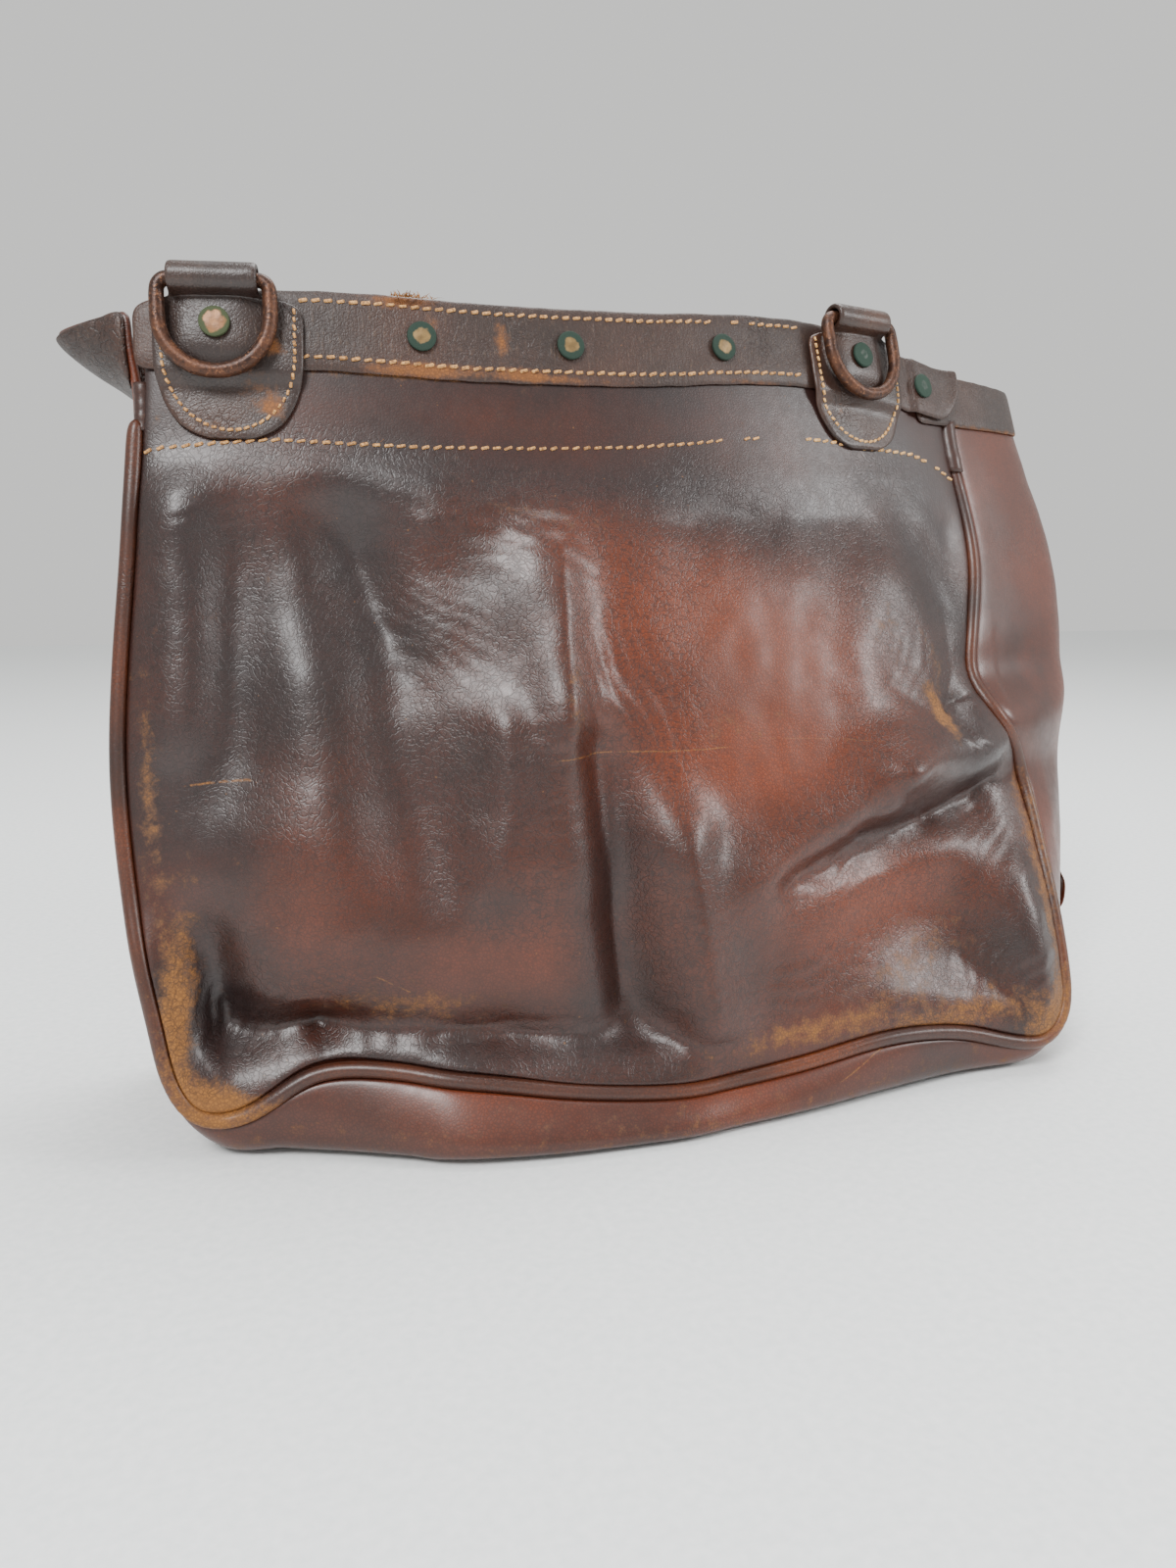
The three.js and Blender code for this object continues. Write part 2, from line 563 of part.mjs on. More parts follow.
const spread = (from, to, count) => Array.from({ length: count }, (_, i) => mix(from, to, i / count));
const nearColumns = [...spread(nearTopLeft.x - leftBandOverhang, nearStep, 26),
  ...spread(nearStep, nearStep + stepLength, 3), ...spread(nearStep + stepLength, pointEnd, 6), pointEnd];
const pointedEnd = 0.3;        // height left at the very point, share of bandHeight
function nearBandBottom(x) {
  const taper = 1 - Math.sqrt(1 - 0.98 * pointAt(x) ** 2);
  return rimAt(x) - nearBandTall(x) * mix(1, pointedEnd, taper);
}
const nearBand = bandPlaces(nearSheet, nearColumns, rimAt, nearBandBottom);
addPiece('near_rim_band', leatherOn(nearBand, (place) => nearBandLift(place.point.x), bandLeather), leatherGrey);

const farTopLeft = farSeam[0];
const farTopRight = farSeam[seamCount - 1];
const farSteps = { left: farTopLeft.x + lapEnd(farLap), right: farTopRight.x - lapEnd(farLap) };
const farBandLift = (x) => onLeather + stepAt(x, farSteps.right - stepLength) + stepAt(-x, -farSteps.left - stepLength);
const farBandBottom = () => farTop() - farBandHeight;
const farColumns = [...spread(farTopLeft.x, farSteps.left, 3), ...spread(farSteps.left, farSteps.left + stepLength, 3),
  ...spread(farSteps.left + stepLength, farSteps.right - stepLength, 12),
  ...spread(farSteps.right - stepLength, farSteps.right, 3), ...spread(farSteps.right, farTopRight.x, 3), farTopRight.x];
const farBand = bandPlaces(farSheet, farColumns, farTop, farBandBottom);
addPiece('far_rim_band', leatherOn(farBand, (place) => farBandLift(place.point.x), bandLeather), leatherGrey);

// Ring tabs. Each is one strap: a wide tongue on the band, a roll round the ring's bar and a
// short tail under the tongue. s runs along the rim, h up from it, n out from the panel.
// place is where the ring is, as a share of bagWidth; aside is how far the tongue stands to the
// right of it, as a share of tabHalfWidth.
const ringTabs = [
  { side: 'left', place: -0.413, aside: 0.15 }, { side: 'right', place: 0.266, aside: 0 },
];
const bandOuter = onLeather + bandLeather;
const loopInner = ringWire / 2 + barClearance;
const loopMiddle = loopInner + tabLeather / 2;
const tailMiddle = bandOuter + clearance + tabLeather / 2;
const barOut = tailMiddle + loopMiddle + ringRoom;
const overTail = tabLeather + clearance;
const shoulder = 5.5;          // top of the tongue's shoulders below the rim
const tongueRound = 34;        // height of the tongue's rounded end
const tongueTip = 9;           // half width of its last row

function tabFrame(x) {
  const { point, normal } = onPanel(nearSheet, x, rimAt(x));
  const along = new THREE.Vector3(0, 0, 1).cross(normal).normalize();
  const up = normal.clone().cross(along).normalize();
  return { point, normal, along, up };
}

const inFrame = (frame, s, h, n) => frame.point.clone().addScaledVector(frame.along, s)
  .addScaledVector(frame.up, h).addScaledVector(frame.normal, n);

function tongueHalfWidth(h) {
  const down = clamp((-h - (tabLength - tongueRound)) / tongueRound, 0, 1);
  return mix(tongueTip, tabHalfWidth, Math.sqrt(1 - down * down));
}

// Middle of the tongue's leather above the panel's middle
const bandStepDown = 7;
function tongueLift(frame, s, h) {
  const flat = inFrame(frame, s, h, 0);
  const belowRim = rimAt(flat.x) - flat.z;
  const bandEnd = nearBandTall(flat.x) + 1;
  const overBand = 1 - smooth(belowRim, bandEnd, bandEnd + bandStepDown);
  const tail = (1 - smooth(Math.abs(s), tailHalfWidth + 1, loopHalfWidth - 0.5))
    * smooth(h, -tailLength - 7, -tailLength - 1);
  return onLeather + tabLeather / 2 + (bandLeather + clearance) * overBand + overTail * tail;
}

const tongueSteps = [1, 0.94, 0.86, 0.77, 0.71, 0.66, 0.61, 0.56, 0.5, 0.42, 0.25];
const tabShares = [-1, -0.8, -0.6, -0.4, 0, 0.4, 0.6, 0.8, 1];
const rollSteps = 8;
const rollFrom = -Math.PI / 3;

function tabPlaces(frame, aside) {
  const places = [];
  const tongueRow = (h, half, middle) => tabShares.map((share) => {
    const overTailEnd = smooth(h, -tabLength, -tailLength - 8);
    const s = share * half + middle * mix(1, smooth(Math.abs(share), 0.4, 0.8), overTailEnd);
    const flat = inFrame(frame, s, h, 0);
    const place = onPanel(nearSheet, flat.x, flat.z);
    place.point.addScaledVector(place.normal, tongueLift(frame, s, h));
    return place;
  });
  for (const share of tongueSteps) {
    const h = -share * tabLength;
    places.push(tongueRow(h, tongueHalfWidth(h), aside));
  }
  places.push(tongueRow(-shoulder, tabHalfWidth, aside));
  places.push(tongueRow(-shoulder + 0.6, loopHalfWidth, 0));
  const strapRow = (h, n, normal, half) => tabShares.map((share) => (
    { point: inFrame(frame, share * half, h, n), normal }));
  for (let k = 0; k <= rollSteps; k += 1) {
    const angle = mix(rollFrom, Math.PI, k / rollSteps);
    const normal = frame.normal.clone().multiplyScalar(Math.cos(angle)).addScaledVector(frame.up, Math.sin(angle));
    const n = barOut + loopMiddle * Math.cos(angle);
    const h = barAboveRim + loopMiddle * Math.sin(angle);
    places.push(strapRow(h, n, normal, loopHalfWidth));
  }
  const backward = frame.normal.clone().multiplyScalar(-1);
  places.push(strapRow(-shoulder, tailMiddle, backward, tailHalfWidth));
  places.push(strapRow(-tailLength, tailMiddle, backward, tailHalfWidth));
  return places;
}

// D-ring, drawn hanging straight down from its bar: s along the bar, h down the bow
const bowRadius = (ringInnerWidth + ringWire) / 2;

function ringOutline() {
  const points = [];
  const straight = bowRadius - ringCorner;
  const arc = (cs, ch, radius, from, to, steps) => {
    for (let k = 0; k <= steps; k += 1) {
      const angle = mix(from, to, k / steps);
      points.push({ s: cs + radius * Math.cos(angle), h: ch + radius * Math.sin(angle) });
    }
  };
  arc(straight, -ringCorner, ringCorner, Math.PI / 2, 0, 4);
  arc(0, -(ringDrop - bowRadius), bowRadius, 0, -Math.PI, 18);
  arc(-straight, -ringCorner, ringCorner, Math.PI, Math.PI / 2, 4);
  return points;
}

// Smallest lean of the ring that keeps its wire off the tongue
function ringLean(frame) {
  let lean = 0;
  for (const { s, h } of ringOutline()) {
    if (-h < ringCorner) continue;
    const wireBack = ringWire / 2 + clearance + tabLeather / 2;
    const needed = tongueLift(frame, s, barAboveRim + h) + wireBack - barOut;
    lean = Math.max(lean, Math.asin(clamp(needed / -h, -1, 1)));
  }
  return lean;
}

function ringGeometry(frame) {
  const lean = ringLean(frame);
  const down = frame.up.clone().multiplyScalar(Math.cos(lean)).addScaledVector(frame.normal, -Math.sin(lean));
  const centre = inFrame(frame, 0, barAboveRim, barOut);
  const outline = ringOutline();
  const points = outline.map(({ s, h }) => centre.clone().addScaledVector(frame.along, s).addScaledVector(down, h));
  const face = frame.along.clone().cross(down).normalize();
  return sweptBar(points, points.map(() => face), ringWire, 8, true);
}

function rivetGeometry(place, lift) {
  const radius = rivetDiameter / 2;
  const profile = [
    new THREE.Vector2(0, 0), new THREE.Vector2(radius * 0.94, 0), new THREE.Vector2(radius, rivetHeight * 0.3),
    new THREE.Vector2(radius * 0.9, rivetHeight * 0.72), new THREE.Vector2(radius * 0.5, rivetHeight * 0.94),
    new THREE.Vector2(0, rivetHeight),
  ];
  const geometry = new THREE.LatheGeometry(profile, 10);
  const turn = new THREE.Quaternion().setFromUnitVectors(new THREE.Vector3(0, 1, 0), place.normal);
  geometry.applyQuaternion(turn);
  const seat = place.point.clone().addScaledVector(place.normal, lift);
  geometry.translate(seat.x, seat.y, seat.z);
  return geometry;
}

for (const { side, place, aside } of ringTabs) {
  const frame = tabFrame(place * bagWidth);
  addPiece(`${side}_ring_tab`, leatherOn(tabPlaces(frame, aside * tabHalfWidth), -tabLeather / 2, tabLeather), leatherGrey);
  addPiece(`${side}_d_ring`, ringGeometry(frame), rustedSteel);
  const seat = { point: inFrame(frame, 0, -tabRivetBelowRim, 0), normal: frame.normal };
  const lift = tongueLift(frame, 0, -tabRivetBelowRim) + tabLeather / 2 + clearance;
  addPiece(`${side}_tab_rivet`, rivetGeometry(seat, lift), agedBrass);
}

// Rivets through the near rim band; place is a share of bagWidth from the middle
const bandRivets = [
  { name: 'band_rivet_left', across: -0.227 }, { name: 'band_rivet_middle', across: -0.079 },
  { name: 'band_rivet_right', across: 0.094 }, { name: 'corner_rivet', across: 0.371 },
];
for (const { name, across } of bandRivets) {
  const x = across * bagWidth;
  const place = onPanel(nearSheet, x, rimAt(x) - nearBandTall(x) / 2);
  addPiece(name, rivetGeometry(place, nearBandLift(x) + bandLeather + clearance), agedBrass);
}

// Gusset keepers: a short strap low on each side, sewn at top and bottom, open in between
function gussetAt(row, share) {
  const i = Math.floor(row);
  const w = share * (acrossShares.length - 1);
  const j = Math.min(Math.floor(w), acrossShares.length - 2);
  const blend = (key) => {
    const low = gussetPlaces[i][j][key].clone().lerp(gussetPlaces[i][j + 1][key], w - j);
    const high = gussetPlaces[i + 1][j][key].clone().lerp(gussetPlaces[i + 1][j + 1][key], w - j);
    return low.lerp(high, row - i);
  };
  return { point: blend('point'), normal: blend('normal').normalize() };
}

function rowAtHeight(rows, z) {
  let best = rows[0];
  const gap = (row) => Math.abs(gussetAt(row, 0.5).point.z - z);
  for (let row = rows[0]; row <= rows[1]; row += 0.02) if (gap(row) < gap(best)) best = row;
  return best;
}

// Height along the keeper as a share of half its height, and how far it stands off there
const keeperRows = [
  { at: -1, off: 0 }, { at: -0.58, off: 0 }, { at: -0.38, off: 1 }, { at: 0, off: 1.1 },
  { at: 0.38, off: 1 }, { at: 0.58, off: 0 }, { at: 1, off: 0 },
];

function keeperPlaces(rows) {
  return keeperRows.map(({ at, off }) => {
    const row = rowAtHeight(rows, keeperAboveFloor + at * keeperHeight / 2);
    const lift = off * keeperStandoff;
    const middle = gussetAt(row, 0.5);
    const reach = keeperWidth / 2 / gussetAt(row, 0.625).point.distanceTo(gussetAt(row, 0.5).point) * 0.125;
    return [-1, 0, 1].map((side) => {
      const place = gussetAt(row, 0.5 + side * reach);
      return { point: place.point.addScaledVector(middle.normal, lift), normal: middle.normal };
    });
  });
}

const keeperLift = gussetLeather / 2 + clearance;
const leftKeeper = keeperPlaces([bandSteps, sideRows]).reverse();
addPiece('left_keeper', leatherOn(leftKeeper, keeperLift, keeperLeather), leatherBrown);
const rightKeeper = keeperPlaces([rightStart, seamCount - 1 - bandSteps]);
addPiece('right_keeper', leatherOn(rightKeeper, keeperLift, keeperLeather), leatherBrown);

export default bag;
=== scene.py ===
import json
import math
import random
import bpy
import numpy as np
from mathutils import Matrix, Vector, noise
from mathutils.bvhtree import BVHTree
from mathutils.kdtree import KDTree


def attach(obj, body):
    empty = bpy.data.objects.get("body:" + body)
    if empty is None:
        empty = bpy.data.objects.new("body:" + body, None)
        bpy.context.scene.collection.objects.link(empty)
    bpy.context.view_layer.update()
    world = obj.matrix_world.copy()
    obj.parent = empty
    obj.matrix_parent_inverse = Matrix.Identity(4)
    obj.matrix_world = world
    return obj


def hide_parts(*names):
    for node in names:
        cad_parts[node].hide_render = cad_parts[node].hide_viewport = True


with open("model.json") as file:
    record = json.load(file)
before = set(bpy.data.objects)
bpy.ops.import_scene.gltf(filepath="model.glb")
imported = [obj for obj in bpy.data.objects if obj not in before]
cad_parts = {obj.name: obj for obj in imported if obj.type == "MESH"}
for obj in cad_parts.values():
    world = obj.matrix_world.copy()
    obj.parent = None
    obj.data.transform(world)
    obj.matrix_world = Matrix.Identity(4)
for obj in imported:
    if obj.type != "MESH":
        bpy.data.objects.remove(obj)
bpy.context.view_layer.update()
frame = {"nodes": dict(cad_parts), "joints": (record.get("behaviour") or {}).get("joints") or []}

mm = 0.001
chance = random.Random(11)


def activate(obj):
    bpy.ops.object.select_all(action="DESELECT")
    bpy.context.view_layer.objects.active = obj
    obj.select_set(True)


def settle(piece, material, body, slotName, *nodes):
    # gives a finished piece its material and its body, and hides the solids it stands for
    piece.data.materials.clear()
    piece.data.materials.append(material)
    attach(piece, body)
    if nodes:
        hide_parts(*nodes)
    return piece


def softCopy(nodeName, pieceName, levels, grow=0.0):
    # a smooth piece from the faceted solid: merged, made quads, subdivided
    source = frame["nodes"][nodeName]
    piece = bpy.data.objects.new(pieceName, source.data.copy())
    bpy.context.collection.objects.link(piece)
    activate(piece)
    bpy.ops.object.mode_set(mode="EDIT")
    bpy.ops.mesh.select_all(action="SELECT")
    bpy.ops.mesh.remove_doubles(threshold=0.00001)
    bpy.ops.mesh.tris_convert_to_quads(face_threshold=math.pi, shape_threshold=math.pi)
    bpy.ops.object.mode_set(mode="OBJECT")
    smoother = piece.modifiers.new("smooth", "SUBSURF")
    smoother.levels = levels
    smoother.render_levels = levels
    bpy.ops.object.modifier_apply(modifier="smooth")
    if grow:
        bpy.ops.object.mode_set(mode="EDIT")
        bpy.ops.mesh.select_all(action="SELECT")
        bpy.ops.transform.shrink_fatten(value=grow)
        bpy.ops.object.mode_set(mode="OBJECT")
    bpy.ops.object.shade_smooth()
    return piece


def meshPiece(pieceName, points, faces):
    mesh = bpy.data.meshes.new(pieceName)
    mesh.from_pydata([Vector(p) for p in points], [], faces)
    piece = bpy.data.objects.new(pieceName, mesh)
    bpy.context.collection.objects.link(piece)
    return piece


def places(piece):
    out = np.empty(len(piece.data.vertices) * 3)
    piece.data.vertices.foreach_get("co", out)
    return out.reshape(-1, 3)


def moveTo(piece, points):
    piece.data.vertices.foreach_set("co", points.ravel())
    piece.data.update()


def mark(piece, name, values):
    layer = piece.data.attributes.new(name, "FLOAT", "POINT")
    layer.data.foreach_set("value", np.clip(values, 0, 1))


def zonesAt(x, z, rows):
    # sum of soft spots: middle x, z, half widths, turn, strength; mm and degrees
    total = np.zeros(len(x))
    for cx, cz, wide, tall, turn, strength in rows:
        a = math.radians(turn)
        dx, dz = x / mm - cx, z / mm - cz
        u = (dx * math.cos(a) + dz * math.sin(a)) / wide
        v = (-dx * math.sin(a) + dz * math.cos(a)) / tall
        total += strength * np.exp(-(u * u + v * v))
    return total


def roughField(points, size, seed):
    # smooth noise of a given grain, for every vertex
    shift = Vector((seed * 7.3, seed * 3.1, seed * 5.7))
    return np.array([noise.noise(Vector(p) / size + shift) for p in points])


def swells(points, rows):
    # unevenness, from rows of height in mm, grain in metres and seed
    return sum(height * roughField(points, grain, seed) for height, grain, seed in rows)


def patchy(points, base, swing, grain, seed):
    # a zone that comes and goes over a piece
    return base + swing * roughField(points, grain, seed)


def linear(hexColour):
    parts = [int(hexColour[i:i + 2], 16) / 255 for i in (1, 3, 5)]
    return [p / 12.92 if p <= 0.04045 else ((p + 0.055) / 1.055) ** 2.4 for p in parts] + [1.0]


def addNode(tree, kind, inputs, out=0, **settings):
    # adds one node with its settings; an input takes a number, a colour or another node's socket
    node = tree.nodes.new("ShaderNode" + kind)
    for key, value in settings.items():
        setattr(node, key, value)
    for socket, value in inputs.items():
        if isinstance(value, bpy.types.NodeSocket):
            tree.links.new(value, node.inputs[socket])
        else:
            node.inputs[socket].default_value = value
    return node.outputs[out] if node.outputs else node


def startMaterial(name):
    material = bpy.data.materials.new(name)
    material.use_nodes = True
    material.node_tree.nodes.clear()
    where = addNode(material.node_tree, "TexCoord", {}, "Object")
    return material, material.node_tree, where


def oiledLeather(name, look):
    # Oil-tanned cowhide, pulled up and burnished by use: a red-brown body, grey-brown grime mixed with
    # painted shade, orange suede where the grain is rubbed off, small pebbled grain and a waxy sheen
    material, tree, where = startMaterial(name)
    soft = {"interpolation_type": "SMOOTHSTEP"}
    grimeAndShade, glow, rub, crease = [addNode(tree, "Attribute", {}, "Fac", attribute_name=zone)
                                for zone in ("grimeAndShade", "glow", "rub", "crease")]
    cloud = addNode(tree, "TexNoise", {"Vector": where, "Scale": 1 / look["cloud"], "Detail": 5.0,
                                       "Roughness": 0.6})
    mottle = addNode(tree, "TexNoise", {"Vector": where, "Scale": 1 / look["mottle"], "Detail": 6.0,
                                        "Roughness": 0.7})
    # fibres and drag marks run one way
    pulled = addNode(tree, "Mapping", {"Vector": where, "Scale": look["pull"]})
    fibre = addNode(tree, "TexNoise", {"Vector": pulled, "Scale": 1 / look["fibre"], "Detail": 4.0,
                                       "Roughness": 0.65})
    # pebbled grain; the real one is 0.6 mm wide and is drawn a little coarser to show
    pebble = addNode(tree, "TexVoronoi", {"Vector": where, "Scale": 1 / look["grain"]},
                     feature="DISTANCE_TO_EDGE")
    pebble = addNode(tree, "MapRange", {0: pebble, 1: 0.0, 2: 0.28}, **soft)
    # fine wrinkles where the hide was bent, 3 to 4 mm apart and warped
    warp = addNode(tree, "TexNoise", {"Vector": where, "Scale": 1 / 0.007, "Detail": 2.0}, "Color")
    bent = addNode(tree, "Mix", {0: 0.012, 6: where, 7: warp}, 2, data_type="RGBA", blend_type="ADD")
    wrinkle = addNode(tree, "TexVoronoi", {"Vector": bent, "Scale": 1 / look["wrinkle"]},
                      feature="DISTANCE_TO_EDGE")
    wrinkle = addNode(tree, "MapRange", {0: wrinkle, 1: 0.0, 2: 0.13, 3: 1.0, 4: 0.0}, **soft)
    creased = addNode(tree, "MapRange", {0: crease, 1: 0.2, 2: 0.9}, **soft)
    wrinkle = addNode(tree, "Math", {0: wrinkle, 1: creased}, operation="MULTIPLY")

    share = addNode(tree, "MapRange", {0: cloud, 1: 0.3, 2: 0.72}, **soft)
    colour = addNode(tree, "Mix", {0: share, 6: linear(look["deep"]), 7: linear(look["body"])}, 2,
                     data_type="RGBA")
    share = addNode(tree, "MapRange", {0: mottle, 1: 0.15, 2: 0.6, 3: 0.7, 4: 1.0})
    share = addNode(tree, "Math", {0: glow, 1: share}, operation="MULTIPLY")
    colour = addNode(tree, "Mix", {0: share, 6: colour, 7: linear(look["glow"])}, 2, data_type="RGBA")
    # grey-brown grime; on the near panel it also paints shade into the creases and valleys of the folds
    share = addNode(tree, "MapRange", {0: cloud, 1: 0.2, 2: 0.75, 3: 1.0, 4: 0.7})
    share = addNode(tree, "Math", {0: grimeAndShade, 1: share}, operation="MULTIPLY")
    colour = addNode(tree, "Mix", {0: share, 6: colour, 7: linear(look["grimeAndShade"])}, 2, data_type="RGBA")
    share = addNode(tree, "MapRange", {0: mottle, 1: 0.38, 2: 0.75, 3: 0.0, 4: 0.4}, **soft)
    colour = addNode(tree, "Mix", {0: share, 6: colour, 7: linear(look["deep"])}, 2, data_type="RGBA")
    share = addNode(tree, "MapRange", {0: fibre, 1: 0.52, 2: 0.8, 3: 0.0, 4: look["fibreShow"]}, **soft)
    colour = addNode(tree, "Mix", {0: share, 6: colour, 7: linear(look["fibreColour"])}, 2, data_type="RGBA")
    # rubbed leather breaks through at the high places of the grain first
    uneven = addNode(tree, "Math", {0: mottle, 1: 1.5, 2: rub}, operation="MULTIPLY_ADD")
    rubbed = addNode(tree, "MapRange", {0: uneven, 1: 0.92, 2: 1.62, 4: 0.9}, **soft)
    colour = addNode(tree, "Mix", {0: rubbed, 6: colour, 7: linear(look["suede"])}, 2, data_type="RGBA")
    flecks = addNode(tree, "TexNoise", {"Vector": where, "Scale": 1 / 0.0022, "Detail": 2.0})
    flecks = addNode(tree, "MapRange", {0: flecks, 1: 0.735, 2: 0.8, 3: 0.0, 4: look["flecks"]}, **soft)
    colour = addNode(tree, "Mix", {0: flecks, 6: colour, 7: linear(look["suede"])}, 2, data_type="RGBA")
    for x, z, length, turn, wide, show in look["scratches"]:
        lined = addNode(tree, "Mapping", {"Vector": where, "Location": (x * mm, 0, z * mm),
                                          "Rotation": (0, -math.radians(turn), 0)}, vector_type="TEXTURE")
        apart = addNode(tree, "SeparateXYZ", {0: lined}).node
        off = addNode(tree, "Math", {0: cloud, 1: 0.006, 2: apart.outputs[2]}, operation="MULTIPLY_ADD")
        off = addNode(tree, "Math", {0: off, 1: 0.003}, operation="SUBTRACT")
        off = addNode(tree, "Math", {0: off}, operation="ABSOLUTE")
        line = addNode(tree, "MapRange", {0: off, 1: 0.0, 2: wide * mm, 3: show, 4: 0.0}, **soft)
        end = addNode(tree, "Math", {0: apart.outputs[0]}, operation="ABSOLUTE")
        end = addNode(tree, "MapRange", {0: end, 1: length * mm * 0.44, 2: length * mm * 0.5, 3: 1.0, 4: 0.0})
        broken = addNode(tree, "MapRange", {0: mottle, 1: 0.4, 2: 0.5}, **soft)
        line = addNode(tree, "Math", {0: line, 1: end}, operation="MULTIPLY")
        line = addNode(tree, "Math", {0: line, 1: broken}, operation="MULTIPLY")
        colour = addNode(tree, "Mix", {0: line, 6: colour, 7: linear(look["suede"])}, 2, data_type="RGBA")
    share = addNode(tree, "Math", {0: wrinkle, 1: 0.5}, operation="MULTIPLY")
    colour = addNode(tree, "Mix", {0: share, 6: colour, 7: linear(look["dirt"])}, 2, data_type="RGBA")
    share = addNode(tree, "MapRange", {0: pebble, 1: 0.0, 2: 1.0, 3: 0.36, 4: 0.0})
    colour = addNode(tree, "Mix", {0: share, 6: colour, 7: linear(look["dirt"])}, 2, data_type="RGBA")

    gloss = addNode(tree, "MapRange", {0: mottle, 1: 0.25, 2: 0.75, 3: look["rough"] - 0.06,
                                       4: look["rough"] + 0.1})
    gloss = addNode(tree, "Mix", {0: rubbed, 2: gloss, 3: 0.8})
    height = addNode(tree, "Math", {0: mottle, 1: 0.7}, operation="MULTIPLY")
    height = addNode(tree, "Math", {0: pebble, 1: 0.2, 2: height}, operation="MULTIPLY_ADD")
    height = addNode(tree, "Math", {0: fibre, 1: look["fibreShow"] * 2, 2: height}, operation="MULTIPLY_ADD")
    height = addNode(tree, "Math", {0: wrinkle, 1: -1.1, 2: height}, operation="MULTIPLY_ADD")
    relief = addNode(tree, "Bump", {"Height": height, "Strength": look["relief"], "Distance": 0.0004})
    skin = addNode(tree, "BsdfPrincipled", {"Base Color": colour, "Roughness": gloss, "Normal": relief,
                                            "Specular IOR Level": look["shine"], "Coat Weight": look["coat"],
                                            "Coat Roughness": 0.24})
    addNode(tree, "OutputMaterial", {0: skin})
    return material


panelLook = {
    "deep": "#260f07", "body": "#4a1e0b", "glow": "#74300e", "grimeAndShade": "#221b1c", "suede": "#8c5a24",
    "dirt": "#160b08", "fibreColour": "#6a3c28", "cloud": 0.05, "mottle": 0.006, "fibre": 0.002,
    "pull": (1, 1, 0.25), "fibreShow": 0.1, "grain": 0.0015, "wrinkle": 0.0032, "rough": 0.38,
    "relief": 0.2, "shine": 0.45, "coat": 0.15, "flecks": 0.5,
    # x and z of the middle, length, turn in degrees, half width, strength; mm
    "scratches": [(-14, 166, 84, 1.5, 0.5, 0.6), (76, 167, 60, -4, 0.3, 0.35), (-190, 157, 28, 4, 0.8, 0.8),
                  (-124, 74, 17, -30, 0.45, 0.6), (60, 105, 16, 70, 0.3, 0.4)],
}
farLook = dict(panelLook, scratches=[(-60, 120, 70, 22, 0.4, 0.4), (90, 210, 46, -50, 0.4, 0.4)])
bandLook = dict(panelLook, deep="#24160f", body="#432a20", glow="#54301f", grimeAndShade="#2c201c", suede="#845022",
                fibreColour="#6b5544", pull=(1, 1, 0.09), fibreShow=0.5, fibre=0.0011, rough=0.45, coat=0.05,
                wrinkle=0.005, relief=0.6, scratches=[], flecks=0.35)
tabLook = dict(bandLook, deep="#20140f", body="#39261f", glow="#54301c", grimeAndShade="#291f1d", fibreShow=0.25,
               rough=0.38, coat=0.14)
gussetLook = dict(panelLook, deep="#33150b", body="#56230f", glow="#7c381c", grimeAndShade="#2a1a16", rough=0.38,
                  cloud=0.04, scratches=[(92, 22, 40, 25, 0.5, 0.6)])
pipingLook = dict(panelLook, deep="#24110a", body="#43200f", glow="#6c3314", mottle=0.003, scratches=[],
                  coat=0.1)


def rustySteel():
    # Round steel wire, rusted and handled smooth again: brown oxide with pits and bare rubbed spots
    material, tree, where = startMaterial("Rusted steel wire")
    patches = addNode(tree, "TexNoise", {"Vector": where, "Scale": 1 / 0.007, "Detail": 6.0,
                                         "Roughness": 0.65})
    pits = addNode(tree, "TexNoise", {"Vector": where, "Scale": 1 / 0.0012, "Detail": 3.0})
    share = addNode(tree, "MapRange", {0: patches, 1: 0.35, 2: 0.65})
    colour = addNode(tree, "Mix", {0: share, 6: linear("#2c1a14"), 7: linear("#583623")}, 2, data_type="RGBA")
    share = addNode(tree, "MapRange", {0: pits, 1: 0.58, 2: 0.72, 3: 0.0, 4: 0.7})
    colour = addNode(tree, "Mix", {0: share, 6: colour, 7: linear("#8a5c3e")}, 2, data_type="RGBA")
    share = addNode(tree, "MapRange", {0: pits, 1: 0.3, 2: 0.42, 3: 0.7, 4: 0.0})
    colour = addNode(tree, "Mix", {0: share, 6: colour, 7: linear("#1d1310")}, 2, data_type="RGBA")
    relief = addNode(tree, "Bump", {"Height": pits, "Strength": 0.5, "Distance": 0.0004})
    gloss = addNode(tree, "MapRange", {0: patches, 1: 0.3, 2: 0.7, 3: 0.34, 4: 0.56})
    metal = addNode(tree, "BsdfPrincipled", {"Base Color": colour, "Normal": relief, "Roughness": gloss,
                                             "Metallic": 0.5})
    addNode(tree, "OutputMaterial", {0: metal})
    return material


